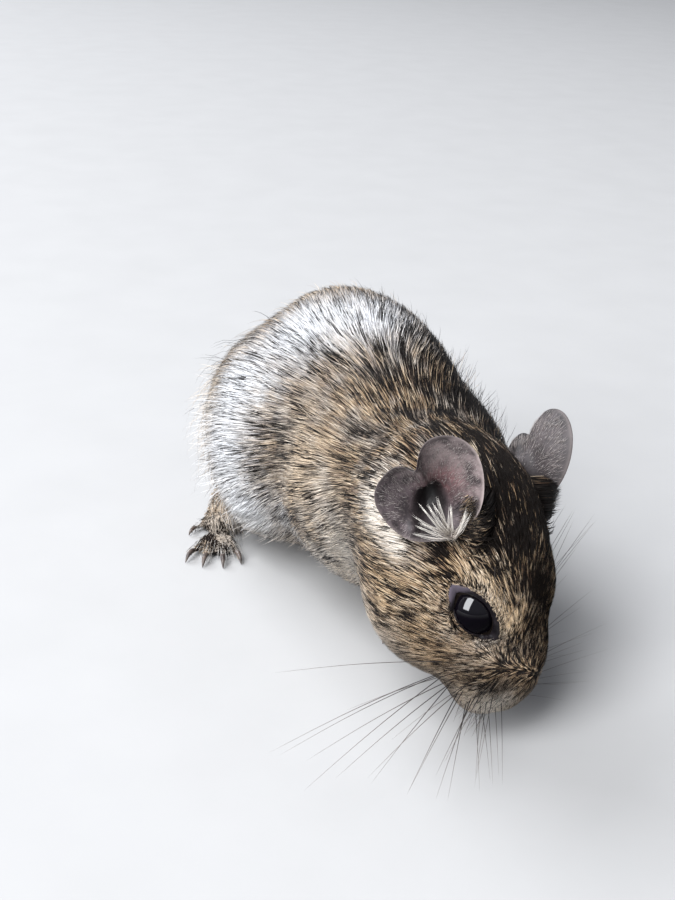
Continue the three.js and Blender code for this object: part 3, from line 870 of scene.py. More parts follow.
def hair_pieces(name, lines, widths, ups, material, unwrap, draws, marks=None, root_width=0.75):
    """Meshes of many hairs. lines holds the points along each hair, and ups its flat side's normal."""
    rings = lines.shape[1]
    shares = np.linspace(0, 1, rings)
    aim = unit(np.gradient(lines, axis=1))
    across = unit(np.cross(aim, ups[:, None, :]))
    over = np.cross(aim, across)
    profile = np.interp(shares, (0, 0.4, 1), (root_width, 1, 0.15))
    half = (widths[:, None] * profile[None] * 0.5)[:, :, None]
    corners = np.radians(90 + 120 * np.arange(3))
    points = np.stack([lines + (across * math.cos(turn) + over * (0.65 * math.sin(turn))) * half
                       for turn in corners], axis=2)
    points = np.concatenate([points[:, :-1].reshape(len(lines), -1, 3), lines[:, -1:]], axis=1)
    points[:, :, 2] = np.maximum(points[:, :, 2], 0.03)
    points = np.array(ORIGIN) + points * MM
    along = np.concatenate([np.repeat(shares[:-1], 3), [1]])
    sideways = np.concatenate([np.tile((0, 0.5, 1), rings - 1), [0.5]])
    bake = unwrap(lines[:, 0])[:, None] + np.stack([sideways, along], axis=1)[None] * PATCH
    strand = np.stack(np.broadcast_arrays(along[None], draws[:, None]), axis=2)
    pattern = spike_faces(rings)
    each = HAIR_TRIANGLES // len(pattern)
    made = []
    for start in range(0, len(lines), each):
        part = slice(start, start + each)
        label = f"{name}_{start // each + 1}" if len(lines) > each else name
        values = None if marks is None else marks[part]
        made.append(hair_object(label, points[part], pattern, bake[part], strand[part], values, material))
    return made


def hair_object(name, points, pattern, bake, strand, marks, material):
    count, size = points.shape[:2]
    faces = (pattern[None] + size * np.arange(count)[:, None, None]).reshape(-1, 3)
    mesh = bpy.data.meshes.new(name)
    mesh.vertices.add(count * size)
    mesh.vertices.foreach_set("co", points.astype(np.float32).ravel())
    mesh.loops.add(faces.size)
    mesh.loops.foreach_set("vertex_index", faces.astype(np.int32).ravel())
    mesh.polygons.add(len(faces))
    mesh.polygons.foreach_set("loop_start", np.arange(0, faces.size, 3, dtype=np.int32))
    mesh.polygons.foreach_set("use_smooth", np.ones(len(faces), bool))
    mesh.update(calc_edges=True)
    for layer_name, values in (("OFBake", bake), ("Strand", strand)):
        layer = mesh.uv_layers.new(name=layer_name)
        layer.uv.foreach_set("vector", values.reshape(-1, 2)[faces.ravel()].astype(np.float32).ravel())
    if marks is not None:
        paint(mesh, np.repeat(marks, size, axis=0))
    return new_object(name, mesh, material)


def paint(mesh, weights):
    colour = mesh.attributes.new("markings", "FLOAT_COLOR", "POINT")
    colour.data.foreach_set("color", weights.astype(np.float32).ravel())


def strands(name, lines, widths, ups, material, unwrap, random, root_width=0.75):
    """One piece of hairs. widths is the least width and how much wider the hairs come, or a list."""
    count = len(lines)
    if isinstance(widths, tuple):
        widths = widths[0] + widths[1] * random.rand(count)
    if np.ndim(ups) == 1:
        ups = np.repeat(np.array(ups)[None], count, axis=0)
    return hair_pieces(name, lines, widths, ups, material, unwrap, random.rand(count),
                       root_width=root_width)[0]


def curved(lines, rings):
    """Smooth lines through the points of each, as a number of points along them"""
    spans = lines.shape[1] - 1
    padded = np.concatenate([lines[:, :1], lines, lines[:, -1:]], axis=1)
    made = []
    for stage in np.linspace(0, spans, rings):
        index = min(int(stage), spans - 1)
        t = stage - index
        a, b, c, d = (padded[:, index + step] for step in range(4))
        made.append(0.5 * (2 * b + (c - a) * t + (2 * a - 5 * b + 4 * c - d) * t**2
                           + (3 * b - a - 3 * c + d) * t**3))
    return np.stack(made, axis=1)


def unwrapped(sideways, upwards, along):
    turn = np.arctan2(sideways, upwards) / (2 * math.pi) + 0.5
    return np.clip(np.stack([turn, along], axis=1), 0, 1 - PATCH)


def unwrap_body(points):
    """Round the trunk and along it"""
    return unwrapped(points[:, 0], points[:, 2] - 30, (points[:, 1] + 60) / 225)


def unwrap_head(points):
    """Round the head and along it"""
    local = to_head(points)
    return unwrapped(local[:, 1], local[:, 2] + 2, (local[:, 0] + 34) / 58)


class Ground:
    """Pieces of skin as something to sample and to keep hair above"""

    def __init__(self, *pieces):
        points, corners, normals = [], [], []
        for piece in pieces:
            mesh = piece.data
            mesh.calc_loop_triangles()
            rows = np.empty(len(mesh.loop_triangles) * 3, np.int32)
            mesh.loop_triangles.foreach_get("vertices", rows)
            corners.append(rows.reshape(-1, 3) + sum(len(part) for part in points))
            points.append(to_body(positions(mesh)))
            normals.append(vertex_normals(mesh))
        self.points = np.concatenate(points)
        self.corners = np.concatenate(corners)
        self.normals = np.concatenate(normals)
        a, b, c = (self.points[self.corners[:, index]] for index in range(3))
        self.areas = np.linalg.norm(np.cross(b - a, c - a), axis=1) / 2
        self.centres = (a + b + c) / 3
        self.tree = BVHTree.FromPolygons(self.points.tolist(), self.corners.tolist())

    def sample(self, count, density, seed):
        """Points spread over the surface by a density, with the surface's normals there"""
        random = np.random.RandomState(seed)
        weight = np.cumsum(self.areas * density(self.centres))
        chosen = np.searchsorted(weight, random.rand(count) * weight[-1])
        first, second = random.rand(2, count)
        flip = first + second > 1
        first[flip], second[flip] = 1 - first[flip], 1 - second[flip]
        shares = np.stack([1 - first - second, first, second], axis=1)
        rows = self.corners[chosen]
        points = np.einsum("ij,ijk->ik", shares, self.points[rows])
        normals = unit(np.einsum("ij,ijk->ik", shares, self.normals[rows]))
        return points, normals

    def above(self, points, heights):
        """Each point moved to its height over the nearest place of the surface"""
        found = np.empty_like(points)
        normals = np.empty_like(points)
        for index, point in enumerate(points):
            spot, normal, _, _ = self.tree.find_nearest(point)
            found[index] = spot
            normals[index] = normal
        return found + normals * heights[:, None], normals


def nearest_guides(roots, every):
    """The hair that each hair lies with in a lock: the nearest of some of them"""
    guides = np.arange(0, len(roots), every)
    tree = KDTree(len(guides))
    for index in guides:
        tree.insert(roots[index], int(index))
    tree.balance()
    return np.array([tree.find(root)[1] for root in roots])


def gathered(lines, guide, pull):
    """Draws the outer parts of the hairs of a lock together"""
    for ring in range(1, lines.shape[1]):
        share = (ring / (lines.shape[1] - 1)) ** 1.5 * pull
        lines[:, ring] += (lines[guide, ring] - lines[:, ring]) * share[:, None]
    return lines


LEAST_DEPTH = 0.3  # of the coat, where it's thinnest
LEAST_RISE = 0.12  # of a hair over the skin
ROOT_SINK = (0.04, 0.1)  # how deep a root goes, and the share of the coat's depth added to that
# The least share of a hair's full length, height or width, and how much more it may have
LENGTHS, HEIGHTS, WIDTHS = (0.7, 0.6), (0.5, 0.7), (0.7, 0.6)
MARKS_BLUR = 0.7


def fur(name, ground, count, density, seed, unwrap=unwrap_body, rings=3, scale=1.0, clump=12, pull=0.4,
        stand=1.0, thin=1.0, rough=0.13, variety=0.25, material=COAT):
    """Hairs rooted on the skin and laid over it at the coat's depth. variety is how far the hairs of
    a lock differ in tone."""
    random = np.random.RandomState(seed + 1)
    roots, normals = ground.sample(count, density, seed)

    def varied(span):
        return span[0] + span[1] * random.rand(count)

    length = coat_length(roots) * scale * varied(LENGTHS)
    depth = coat_depth(roots)
    height = (np.maximum(depth, LEAST_DEPTH) * varied(HEIGHTS) + LEAST_RISE) * stand
    aims = lie(roots, normals) + random.normal(0, rough, (count, 3))
    aims = unit(aims - normals * np.sum(aims * normals, axis=1, keepdims=True))
    points = [roots - normals * (ROOT_SINK[0] + ROOT_SINK[1] * depth)[:, None]]
    at, aim = roots, aims
    for ring in range(1, rings):
        share = ring / (rings - 1)
        step = at + aim * (length / (rings - 1))[:, None]
        at, over = ground.above(step, height * share**0.7)
        aim = unit(aims * 0.5 + lie(at, over) * 0.5)
        points.append(at)
    guide = nearest_guides(roots, clump)
    lines = gathered(np.stack(points, axis=1), guide, pull * (0.4 + 1.2 * random.rand(count)).clip(0, 1))
    widths = coat_value(roots, COAT_WIDTH) * varied(WIDTHS) * thin
    marks = markings(roots + random.normal(0, MARKS_BLUR, (count, 3)))
    draws = random.rand(count)
    draws = (draws[guide] + variety * (random.rand(count) - 0.5)) % 1
    return hair_pieces(name, lines, widths, normals, material, unwrap, draws, marks)


def bare_weight(points):
    """0 where no hair grows: in the eyes, on the soles and under the ears"""
    weight = smooth(0.3, 0.9, points[:, 2]) * smooth(0.1, 0.45, past_lids(points))
    for name in SIDES:
        local = from_ear_plane(name, points)
        under = (np.hypot(local[:, 0], local[:, 1]) < 6.5) & (np.abs(local[:, 2] + 4) < 7)
        weight *= np.where(under, 0, 1)
    return weight


def coat_length(points):
    """Hair length in millimetres: short on the feet and tail and round the eyes"""
    length = coat_value(points, COAT_LENGTH) * (0.16 + 0.84 * smooth(3, 16, points[:, 2]))
    length = length * (0.36 + 0.64 * smooth(0.2, 4.5, past_lids(points)))
    return np.where(points[:, 1] > TAIL_START, 2.6, length)


# Where the head's coat ends along the head, the face's by its reach behind the nose, and the body's
# along the body, and how softly
HEAD_EDGE = -24
HEAD_SOFT = 3
FACE_REACH = 30
FACE_SOFT = 4
TAIL_START = 54


def on_head(points):
    local = to_head(points)
    past_edge = smooth(HEAD_EDGE - HEAD_SOFT, HEAD_EDGE + HEAD_SOFT, local[:, 0])
    return past_edge * smooth(32, 24, np.linalg.norm(local, axis=1))


def behind_face(points):
    return smooth(FACE_REACH - FACE_SOFT, FACE_REACH + FACE_SOFT, reach(points))


def face_density(points):
    near = 1 + 1.2 * (1 - smooth(8, 26, reach(points))) + 1.6 * (1 - smooth(0, 4, past_lids(points)))
    return bare_weight(points) * on_head(points) * near * (1 - behind_face(points))


def lid_density(points):
    beyond = past_lids(points)
    return smooth(0.05, 0.2, beyond) * (1 - smooth(0.9, 1.5, beyond))


def head_density(points):
    return bare_weight(points) * on_head(points) * behind_face(points)


def body_density(points):
    under = 0.4 + 0.6 * smooth(4, 14, points[:, 2])
    return bare_weight(points) * (1 - on_head(points)) * under * (points[:, 1] < TAIL_START)


# Where the long single hairs stand: a middle and half sizes
RUMP_HAIRS = [((28, 30, 30), (6, 14, 20)), ((14, -20, 50), (7, 9, 8))]


def rump_density(points):
    """Long single hairs stand out over the flanks of the rump and over the nape"""
    total = sum(bell_at(points * (side, 1, 1), middle, half)
                for middle, half in RUMP_HAIRS for side in (1, -1))
    return bare_weight(points) * total


def tail_density(points):
    return bare_weight(points) * (points[:, 1] >= TAIL_START)


# Ears

def bell(angle, centre, width):
    apart = math.acos(max(-1, min(1, math.cos(angle - math.radians(centre)))))
    return math.exp(-((apart / math.radians(width)) ** 2))


def ear_radius(round_angle, pose):
    rim = EAR["radius"]
    for height, centre, width in (pose["upper_lobe"], EAR["rear_lobe"], pose["notch"]):
        rim += height * bell(round_angle, centre, width)
    return rim


def rim_share(name, local):
    """How far towards the rim each place of an ear lies"""
    pose = EAR_POSES[name]
    rims = np.array([ear_radius(angle, pose) for angle in np.arctan2(local[:, 1], local[:, 0])])
    return np.linalg.norm(local[:, :2], axis=1) / rims


def ear_depth(ahead, up, rim_share, cup):
    """How deep the ear's surface lies under its rim"""
    depth = cup * (1 - rim_share**2.4)
    (x0, y0), (x1, y1) = FOLD
    run, fall = x1 - x0, y1 - y0
    share = max(0, min(1.2, ((ahead - x0) * run + (up - y0) * fall) / (run**2 + fall**2)))
    away = math.hypot(ahead - x0 - share * run, up - y0 - share * fall)
    depth -= FOLD_HEIGHT * math.exp(-((away / FOLD_WIDTH) ** 2)) * (0.35 + 0.65 * share)
    (pit_x, pit_y), (wide, high) = PIT
    depth += PIT_DEPTH * math.exp(-(((ahead - pit_x) / wide) ** 2 + ((up - pit_y) / high) ** 2) ** 1.5)
    for (form_x, form_y), spread, height in (CURL, HOLLOW):
        depth -= height * math.exp(-((ahead - form_x) ** 2 + (up - form_y) ** 2) / spread)
    return depth


def ear(name):
    middle, facing, upward, frontward = ear_frame(name)
    pose = EAR_POSES[name]
    shape = bmesh.new()

    def at(round_angle, along):
        share = math.sin(math.pi * along)
        radius = ear_radius(round_angle, pose) * share
        ahead, up = radius * math.cos(round_angle), radius * math.sin(round_angle)
        face = math.cos(math.pi * along)
        half = EAR["thick"] / 2 * math.copysign(abs(face) ** 0.4, face) * (1.5 - 0.8 * share)
        wave = 0.25 * math.sin(3 * round_angle + 1) * share**3
        height = half + wave - ear_depth(ahead, up, share, pose["cup"])
        return middle + (frontward * ahead + upward * up + facing * height) * MM

    moulded(shape, 112, 56, at)
    base = head_place(pose["place"][0] + 3.6, SIDES[name] * 6, 3)
    floor = middle + (upward * PIT[0][1] - facing * (pose["cup"] + PIT_DEPTH + 0.3)) * MM
    limb(shape, [base, floor], [5.4 * MM, 3.2 * MM], sides=24, rings=12, up=head_direction(1, 0, 0))
    put_in_order(shape)
    made = object_from(f"ear_{name}_skin", shape, EAR_SKIN)
    local = (positions(made.data) - np.array(middle)) / MM @ np.array((frontward, upward, facing)).T
    front = smooth(0.3, 0.7, vertex_normals(made.data) @ np.array(facing))
    pit_middle, pit_half = PIT
    pit_far = np.linalg.norm((local[:, :2] - pit_middle) / pit_half, axis=1)
    rim = smooth(0.93, 1.0, rim_share(name, local)) * smooth(-3, -1.5, local[:, 2])
    values = np.ones((len(local), 4))
    values[:, 0] = front * bell_at(local[:, :2], *FLUSH)
    # The second weight: near black in the deep opening on the ear's front, as painted shade, and a darker
    # tone over its back, more towards the rear
    values[:, 1] = front * np.exp(-(pit_far**4))
    values[:, 1] += (1 - front) * (0.68 + 0.25 * smooth(-1.5, -4.5, local[:, 0]))
    values[:, 2] = rim * (0.4 + 0.6 * smooth(0, 7, local[:, 0]))
    values[:, 3] = smooth(-1.5, 4.5, local[:, 1] + 0.4 * local[:, 0]) * (0.2 + 0.8 * front)
    paint(made.data, values)
    return made


def ear_fuzz(name, made):
    """Fine pale hairs on both faces of an ear, lying towards its rim"""
    skin_of_ear = Ground(made)
    base = ear_plane(name, np.array([[0.5, -5.0, -4.0]]))

    def density(points):
        local = from_ear_plane(name, points)
        inside = 1 - smooth(0.8, 0.9, rim_share(name, local))
        return inside * smooth(3.5, 6.0, np.linalg.norm(points - base, axis=1)) * (local[:, 2] > -6)

    random = np.random.RandomState(90 + SIDES[name])
    count = 2200
    roots, normals = skin_of_ear.sample(count, density, 91 + SIDES[name])
    aims = roots - base + random.normal(0, 1.2, (count, 3))
    aims = unit(aims - normals * np.sum(aims * normals, axis=1, keepdims=True))
    length = 0.9 + 1.3 * random.rand(count)
    lines = np.stack([roots - normals * 0.1, roots + aims * (length * 0.6)[:, None] + normals * 0.14,
                      roots + aims * length[:, None] + normals * 0.18], axis=1)
    return strands(f"ear_fuzz_{name}", lines, (0.035, 0.03), normals, EAR_FUZZ, unwrap_head, random)


def ear_tuft(name):
    """Pale locks that fan from the front base of an ear across its opening"""
    random = np.random.RandomState(40 + SIDES[name])
    lines = []
    locks = 13
    for lock in range(locks):
        turn = math.radians(164 - 96 * lock / (locks - 1) + random.uniform(-5, 5))
        length = random.uniform(6.2, 7.2) + 3.2 * bell(turn, 125, 26)
        root = np.array([4.2, -7.8, -0.9]) + random.normal(0, 0.4, 3)
        tip = root + np.array([math.cos(turn), math.sin(turn), 0.3]) * length
        for _ in range(6):
            start = root + random.normal(0, 0.34, 3)
            end = tip + random.normal(0, 0.12, 3)
            bend = (start + end) / 2 + np.array([0, 0, 0.8]) + random.normal(0, 0.15, 3)
            lines.append([start, (start + bend) / 2 + np.array([0, 0, 0.25]), bend, end])
    lines = ear_plane(name, np.array(lines).reshape(-1, 3)).reshape(-1, 4, 3)
    return strands(f"ear_tuft_{name}", curved(lines, 6), (0.1, 0.09), ear_frame(name)[1], EAR_HAIR,
                   unwrap_head, random)


# The fur in front of an ear grows round here, in the ear's plane
EAR_FRONT = ((9.8, -4.6), (1.3, 3.4))


def ear_front(name, ground):
    """Fur of the head that lies back over the lower front rim of an ear"""
    random = np.random.RandomState(120 + SIDES[name])

    def density(points):
        local = from_ear_plane(name, points)
        return bell_at(local[:, :2], *EAR_FRONT) * (np.abs(local[:, 2] + 2) < 7)

    count = 1500
    roots, normals = ground.sample(count, density, 121 + SIDES[name])
    local = from_ear_plane(name, roots)
    reach_back = 2.4 + 1.6 * random.rand(count)
    tips = local + np.stack([-reach_back, random.uniform(0.4, 2.0, count), np.zeros(count)], axis=1)
    tips[:, 2] = np.maximum(local[:, 2] + 0.6, 0.2 + 0.5 * random.rand(count))
    middles = (local * 0.45 + tips * 0.55) + np.array((0, 0, 1.1))
    lines = np.stack([local, (local + middles) / 2 + np.array((0, 0, 0.3)), middles, tips], axis=1)
    lines = ear_plane(name, lines.reshape(-1, 3)).reshape(-1, 4, 3)
    guide = nearest_guides(roots, 5)
    lines = gathered(curved(lines, 4), guide, 0.5 * random.rand(count))
    widths = 0.15 + 0.08 * random.rand(count)
    draws = (random.rand(count)[guide] + 0.5 * random.rand(count)) % 1
    return hair_pieces(f"ear_front_{name}", lines, widths, normals, FACE_COAT, unwrap_head, draws,
                       markings(roots))[0]


# Eyes and lids

def eye(name):
    side = SIDES[name]
    shape = bmesh.new()
    bmesh.ops.create_uvsphere(shape, u_segments=64, v_segments=40, radius=EYE["ball"] * MM)
    bmesh.ops.translate(shape, verts=shape.verts, vec=head_place(EYE["along"], side * EYE["out"], EYE["up"]))
    return object_from(f"eyeball_{name}", shape, WET_EYE)


def lid(name, ground):
    """A ring of dark skin round the eye, with its opening drawn out to a corner at both ends"""
    side = SIDES[name]
    middle = head_place(EYE["along"], side * EYE["out"], EYE["up"])
    look_ahead, look_out, look_up = EYE["facing"]
    facing = head_direction(look_ahead, side * look_out, look_up).normalized()
    ahead = head_direction(*LID["aim"])
    ahead = (ahead - facing * ahead.dot(facing)).normalized()
    over = facing.cross(ahead) * -side
    shape = bmesh.new()
    section = bmesh.ops.create_circle(shape, segments=14, radius=0.1)["verts"]
    bmesh.ops.rotate(shape, verts=section, matrix=Matrix.Rotation(math.pi / 2, 3, "X"))
    bmesh.ops.translate(shape, verts=section, vec=(1, 0, 0))
    bmesh.ops.spin(shape, geom=shape.verts[:] + shape.edges[:], axis=(0, 0, 1), cent=(0, 0, 0), steps=80,
                   angle=2 * math.pi, use_merge=True)
    bmesh.ops.remove_doubles(shape, verts=shape.verts, dist=1e-5)
    for vertex in shape.verts:
        angle = math.atan2(vertex.co.y, vertex.co.x)
        beyond = (math.hypot(vertex.co.x, vertex.co.y) - 1) / 0.1
        rise = vertex.co.z / 0.1
        inner, outer = (
            Vector(centre) + Vector((math.cos(angle), math.sin(angle))) * almond(math.sin(angle), *size)
            for centre, size in (LID["opening"], LID["edge"])
        )
        share = (beyond + 1) / 2
        flat = inner.lerp(outer, share)
        sideways = ahead * flat.x + over * flat.y
        over_eye = math.sqrt(EYE["ball"] ** 2 - min(flat.length, EYE["ball"] - 0.3) ** 2) + 0.1
        above = middle + (sideways + facing * 9) * MM
        spot = ground.tree.ray_cast(Vector(to_body(np.array(above)[None])[0]), -facing)[0]
        on_skin = over_eye if spot is None else (place(*spot) - middle).dot(facing) / MM
        height = max(over_eye, on_skin + 0.12) + rise * LID["thick"]
        vertex.co = middle + (sideways + facing * height) * MM
    bmesh.ops.recalc_face_normals(shape, faces=shape.faces)
    if shape.calc_volume(signed=True) < 0:
        bmesh.ops.reverse_faces(shape, faces=shape.faces)
    put_in_order(shape)
    made = object_from(f"lid_{name}", shape, LID_SKIN)
    local = (positions(made.data) - np.array(middle)) / MM @ np.array(ahead)
    hind = smooth(3.4, 5.0, -local)
    paint(made.data, np.repeat(hind[:, None], 4, axis=1))
    return made


# Whiskers, bristles, the brush of the tail, toes and claws

STRAND_UP = (0.3, 0.2, 0.93)
WHISKER_ROWS = 4
WHISKERS_IN_ROW = 6
WHISKER_LENGTH = 49  # of the hindmost in the top row
BRUSH_START = 0.62  # as a share of the tail's length
BRUSH_HAIRS = 1500


def whiskers(name):
    """Rows of whiskers, swept from beside the cheek to ahead of the nose"""
    side = SIDES[name]
    random = np.random.RandomState(60 + side)
    lines, widths = [], []
    for row in range(WHISKER_ROWS):
        for column in range(WHISKERS_IN_ROW):
            root = head_spot(8.6 + 1.75 * column + 0.3 * row, side * (7.2 - 0.85 * column),
                             -3.9 - 1.6 * row + 0.2 * column)
            sweep = -0.62 + 0.31 * column + 0.1 * row + random.normal(0, 0.08)
            out = head_direction(sweep, side, 0)
            out.z = 0.36 - 0.05 * column - 0.12 * row + random.normal(0, 0.04)
            out = np.array(out.normalized())
            length = (WHISKER_LENGTH - 5 * column - 2.5 * row) * (0.85 + 0.25 * random.rand())
            droop = 0.04 + 0.06 * random.rand()
            line = []
            for share in (0, 0.33, 0.66, 1):
                point = root + out * (length * share)
                point[2] = max(point[2] - droop * length * share**2, 0.8 + 0.5 * share)
                line.append(point)
            lines.append(line)
            widths.append(0.19 - 0.015 * column + 0.03 * random.rand())
    lines = curved(np.array(lines), 10)
    return strands(f"whiskers_{name}", lines, np.array(widths), STRAND_UP, WHISKER, unwrap_head, random,
                   root_width=1.3)


# Bristles of a side: their number, and the spans of their root and aim on the head and their length
BRISTLES = [
    (45, ((12, 19), (1, 6.5), (-9, -5)), ((0.2, 0.9), (0.2, 0.9), -0.6), (3, 7)),
    (7, ((-4, 3), (9, 11.5), (8, 9.6)), (-0.6, (0.3, 1), (0.5, 1.1)), (8, 15)),
]


def chin_whiskers():
    """Short fine bristles round the mouth and a few long ones over each eye"""
    random = np.random.RandomState(77)

    def drawn(span):
        return random.uniform(*span) if isinstance(span, tuple) else span

    lines = []
    for side in SIDES.values():
        for count, root_spans, aim_spans, length_span in BRISTLES:
            for _ in range(count):
                along, out, up = (drawn(span) for span in root_spans)
                root = head_spot(along, side * out, up)
                along, out, up = (drawn(span) for span in aim_spans)
                aim = np.array(head_direction(along, side * out, up).normalized())
                length = drawn(length_span)
                lines.append([root + aim * length * share for share in (0, 0.4, 0.8, 1)])
    lines = curved(np.array(lines), 5)
    lines[:, :, 2] = np.maximum(lines[:, :, 2], 0.5)
    return strands("face_bristles", lines, (0.08, 0.04), STRAND_UP, WHISKER, unwrap_head, random)


def tail_at(share):
    return smooth_line([Vector(point) for point in TAIL_LINE], share)


def brush():
    """The dark brush at the end of the tail"""
    random = np.random.RandomState(31)
    lines, ups = [], []
    for _ in range(BRUSH_HAIRS):
        share = BRUSH_START + 0.37 * random.rand() ** 0.8
        root, aim = (np.array(value) for value in tail_at(share))
        across = unit(np.cross(aim, (0, 0, 1)))
        turn = random.uniform(-0.15, math.pi + 0.15)
        out = across * math.cos(turn) + np.array((0, 0, 1)) * math.sin(turn)
        length = random.uniform(9, 16) * (0.75 + 0.5 * share)
        spread = random.uniform(0.1, 0.3)
        start = root + out * 0.7
        line = [start, start + aim * length * 0.4 + out * length * spread * 0.45,
                start + aim * length * 0.75 + out * length * spread * 0.62,
                start + aim * length + out * length * spread * 0.6]
        lines.append(line)
        ups.append(out)
    lines = curved(np.array(lines), 5)
    lines[:, :, 2] = np.maximum(lines[:, :, 2], 0.35)
    return strands("tail_brush", lines, (0.2, 0.14), np.array(ups), BRUSH_HAIR, unwrap_body, random)


TOE_SPREAD = 4.4


def toe_rows():
    """Each toe's start, direction, length, radius and claw, as the solids have them"""
    rows = []
    for side in SIDES.values():
        heel, ball = (Vector((side * HIND_FOOT[name][0], HIND_FOOT[name][1], 0)) for name in ("heel", "ball"))
        wrist, palm = (Vector((side * HAND[name][0] + HAND["shift"], HAND[name][1], 0))
                       for name in ("wrist", "palm"))
        inner = (heel.lerp(ball, 0.5), ball - heel, (30,), (7,), 1.2, 2.0)
        hind = (ball, ball - heel, (21, 7, -7, -21), (8, 9.3, 9.3, 7.6), 1.5, 3.4)
        fore = (palm, palm - wrist, (27, 9, -9, -27), (4.6, 5.6, 5.4, 4.2), 1.05, 2.5)
        for root, forward, angles, lengths, radius, claw in (inner, hind, fore):
            forward = forward.normalized()
            across = Vector((-forward.y, forward.x, 0))
            for angle, length in zip(angles, lengths):
                turn = math.radians(angle * side)
                aim = forward.copy()
                aim.rotate(Matrix.Rotation(turn, 3, "Z"))
                start = root + across * math.sin(turn) * radius * TOE_SPREAD
                rows.append((start, aim, length, radius, claw))
    return rows


def claws():
    shape = bmesh.new()
    for start, aim, length, radius, claw in toe_rows():
        def at(far, height):
            return place(*(start + aim * far + Vector((0, 0, height))))
        line = [at(length - 1.1, radius * 0.95), at(length + claw * 0.45, radius * 1.15)]
        line.append(at(length + claw, 0.2))
        limb(shape, line, [radius * 0.42 * MM, radius * 0.36 * MM, 0.06 * MM], sides=10, rings=12)
    return object_from("claws", shape, CLAW)


def toe_bristles():
    """Pale stiff hairs that lie over the toes and reach past the claws"""
    random = np.random.RandomState(52)
    lines, ups = [], []
    for start, aim, length, radius, claw in toe_rows():
        aim, start = np.array(aim), np.array(start)
        across = np.array((-aim[1], aim[0], 0))
        for _ in range(int(22 * radius)):
            turn = random.uniform(-1.3, 1.3)
            out = across * math.sin(turn) + np.array((0, 0, 1)) * math.cos(turn)
            root = start + aim * random.uniform(-1, length)
            root = root + (out + np.array((0, 0, 1))) * radius * 0.8
            long = random.uniform(1.6, 3.2) * (0.6 + 0.4 * radius)
            lift = random.uniform(0.1, 0.5)
            tip = root + aim * long + out * lift - np.array((0, 0, 0.25 * long))
            lines.append([root, (root + tip) / 2 + out * 0.35 * lift, tip])
            ups.append(out)
    lines = np.array(lines)
    lines[:, :, 2] = np.maximum(lines[:, :, 2], 0.3)
    return strands("toe_bristles", lines, (0.07, 0.06), np.array(ups), FOOT_HAIR, unwrap_body, random)


def nose():
    """The bare pad of the nose with its two nostrils"""
    middle = Vector((19.0, 0, -4.2))

    def at(round_angle, along):
        lat = math.pi * (along - 0.5)
        out, up = math.cos(lat) * math.cos(round_angle), math.cos(lat) * math.sin(round_angle)
        ahead = math.sin(lat)
        point = Vector((ahead * 1.25, out * 2.0 * (1 + 0.25 * up), up * 1.35))
        for side in SIDES.values():
            away = math.hypot(point.y - side * (1.05 + 0.25 * point.z), (point.z - 0.05) * 0.8)
            point.x -= 0.75 * math.exp(-((away / 0.42) ** 2)) if ahead > 0 else 0
        point.x -= 0.25 * math.exp(-((point.y / 0.22) ** 2)) if ahead > 0 else 0
        return head_place(*(middle + point))

    shape = bmesh.new()
    moulded(shape, 72, 56, at)
    return object_from("nose_pad", shape, NOSE)


MOUTH = [(8, -6.4, -11), (14, -5, -11.4), (17.6, 0, -10.4), (14, 5, -11.4), (8, 6.4, -11)]
CLEFT = [(20, 0, -5.6), (19.2, 0, -8), (17.8, 0, -10.4)]


def lips(ground):
    """Thin dark lips along the mouth, with the cleft that joins them to the nose"""
    shape = bmesh.new()
    for line, radius in ((MOUTH, 0.45), (CLEFT, 0.3)):
        points = []
        for share in np.linspace(0, 1, 15):
            at, _ = smooth_line([Vector(point) for point in line], share)
            spot, normal, _, _ = ground.tree.find_nearest(head_spot(*at))
            points.append(place(*(Vector(spot) + Vector(normal) * 0.05)))
        limb(shape, points, [radius * MM, radius * MM], sides=10, rings=40, up=head_direction(1, 0, 0))
    return object_from("lips", shape, LID_SKIN)


# The scene

def ride(piece, slot, *nodes):
    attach(piece, "root")
    if nodes:
        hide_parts(*nodes)
    return piece


def lamp(name, direction, distance, wide, high, power, colour):
    light = bpy.data.lights.new(name, "AREA")
    light.shape = "RECTANGLE"
    light.size = wide * MM
    light.size_y = high * MM
    light.energy = power
    light.color = colour
    made = bpy.data.objects.new(name, light)
    bpy.context.scene.collection.objects.link(made)
    aim = Vector(direction).normalized()
    made.location = place(0, 0, 30) + aim * distance * MM
    made.rotation_euler = aim.to_track_quat("Z", "Y").to_euler()


def set_camera():
    azimuth, tip, roll = (math.radians(angle) for angle in
                          (CAMERA["azimuth"], 90 - CAMERA["elevation"], CAMERA["roll"]))
    turn = Matrix.Rotation(azimuth, 3, "Z") @ Matrix.Rotation(tip, 3, "X") @ Matrix.Rotation(roll, 3, "Z")
    camera = bpy.data.cameras.new("camera")
    camera.lens = CAMERA["lens"]
    camera.clip_start = 0.01
    camera.clip_end = 100
    made = bpy.data.objects.new("camera", camera)
    bpy.context.scene.collection.objects.link(made)
    spot = place(*CAMERA["target"]) + turn.col[2] * CAMERA["distance"] * MM
    made.matrix_world = Matrix.Translation(spot) @ turn.to_4x4()
    bpy.context.scene.camera = made


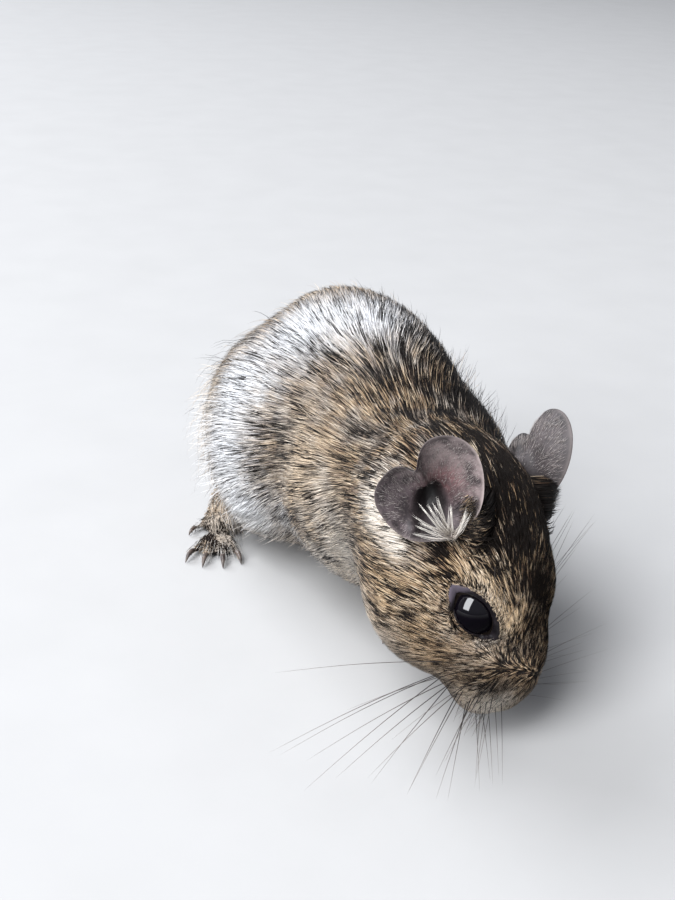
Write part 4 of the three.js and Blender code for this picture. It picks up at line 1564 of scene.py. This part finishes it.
def studio():
    board = Board("floor", Roughness=0.7)
    grain = board.noise(40, 4)
    board.set(Base_Color=board.mix(grain, (0.4, 0.395, 0.39), (0.44, 0.435, 0.43)))
    shape = bmesh.new()
    bmesh.ops.create_grid(shape, x_segments=1, y_segments=1, size=4)
    floor = object_from("floor", shape, board.material)
    world = bpy.data.worlds.new("studio")
    bpy.context.scene.world = world
    world.use_nodes = True
    world.node_tree.nodes["Background"].inputs[0].default_value = (0.82, 0.86, 0.95, 1)
    world.node_tree.nodes["Background"].inputs[1].default_value = 0.34
    lamp("window", (-0.64, -0.4, 0.65), 2100, 1000, 2100, 98, (0.95, 0.97, 1))
    lamp("sky", (-0.45, 0.7, 0.75), 2400, 1700, 1700, 64, (0.92, 0.95, 1))
    bpy.context.scene.view_settings.view_transform = "Standard"


set_camera()
studio()

skin = body_skin()
skin.data.materials.append(SKIN)
ground = Ground(skin)
paint(skin.data, markings(ground.points))
ride(skin, "coat", *FLESH, "tail_root", "tail_middle", "tail_tip")

lids = [ride(lid(side_name, ground), "ear_skin") for side_name in SIDES]
share = 1.0
on_face = {"unwrap": unwrap_head, "material": FACE_COAT}
fine = {"rings": 2, "clump": 4, "variety": 0.2}
single = {"rings": 5, "pull": 0, "thin": 0.4}
coat = fur("face_coat", ground, int(96000 * share), face_density, 11, **on_face, **fine)
coat += fur("lid_coat", Ground(*lids), 6000, lid_density, 17, **on_face, **fine, pull=0.3, scale=0.8)
coat += fur("head_coat", ground, int(21000 * share), head_density, 15, **on_face, clump=5)
coat += fur("under_coat", ground, int(60000 * share), body_density, 27, rings=2, pull=0.2, clump=6, stand=0.7,
            scale=0.8)
coat += fur("body_coat", ground, int(46000 * share), body_density, 21, pull=0.45, clump=6, thin=0.9)
coat += fur("tail_coat", ground, int(5000 * share), tail_density, 33, rings=2)
coat += fur("guard_hairs", ground, 2200, body_density, 41, **single, scale=1.3, stand=1.6, rough=0.2)
coat += fur("rump_hairs", ground, 800, rump_density, 43, **single, scale=1.5, stand=3.0, rough=0.25)
for piece in coat:
    ride(piece, "coat")

for side_name in SIDES:
    ear_skin = ear(side_name)
    ride(ear_skin, "ear_skin", f"ear_{side_name}")
    ride(ear_fuzz(side_name, ear_skin), "ear_skin")
    ride(ear_tuft(side_name), "coat")
    ride(ear_front(side_name, ground), "coat")
    ride(eye(side_name), "eye", f"eye_{side_name}")
    ride(whiskers(side_name), "coat")
ride(chin_whiskers(), "coat")
ride(nose(), "ear_skin")
ride(lips(ground), "ear_skin")
ride(claws(), "foot")
ride(toe_bristles(), "foot")
ride(brush(), "tail_brush")

bpy.context.view_layer.update()
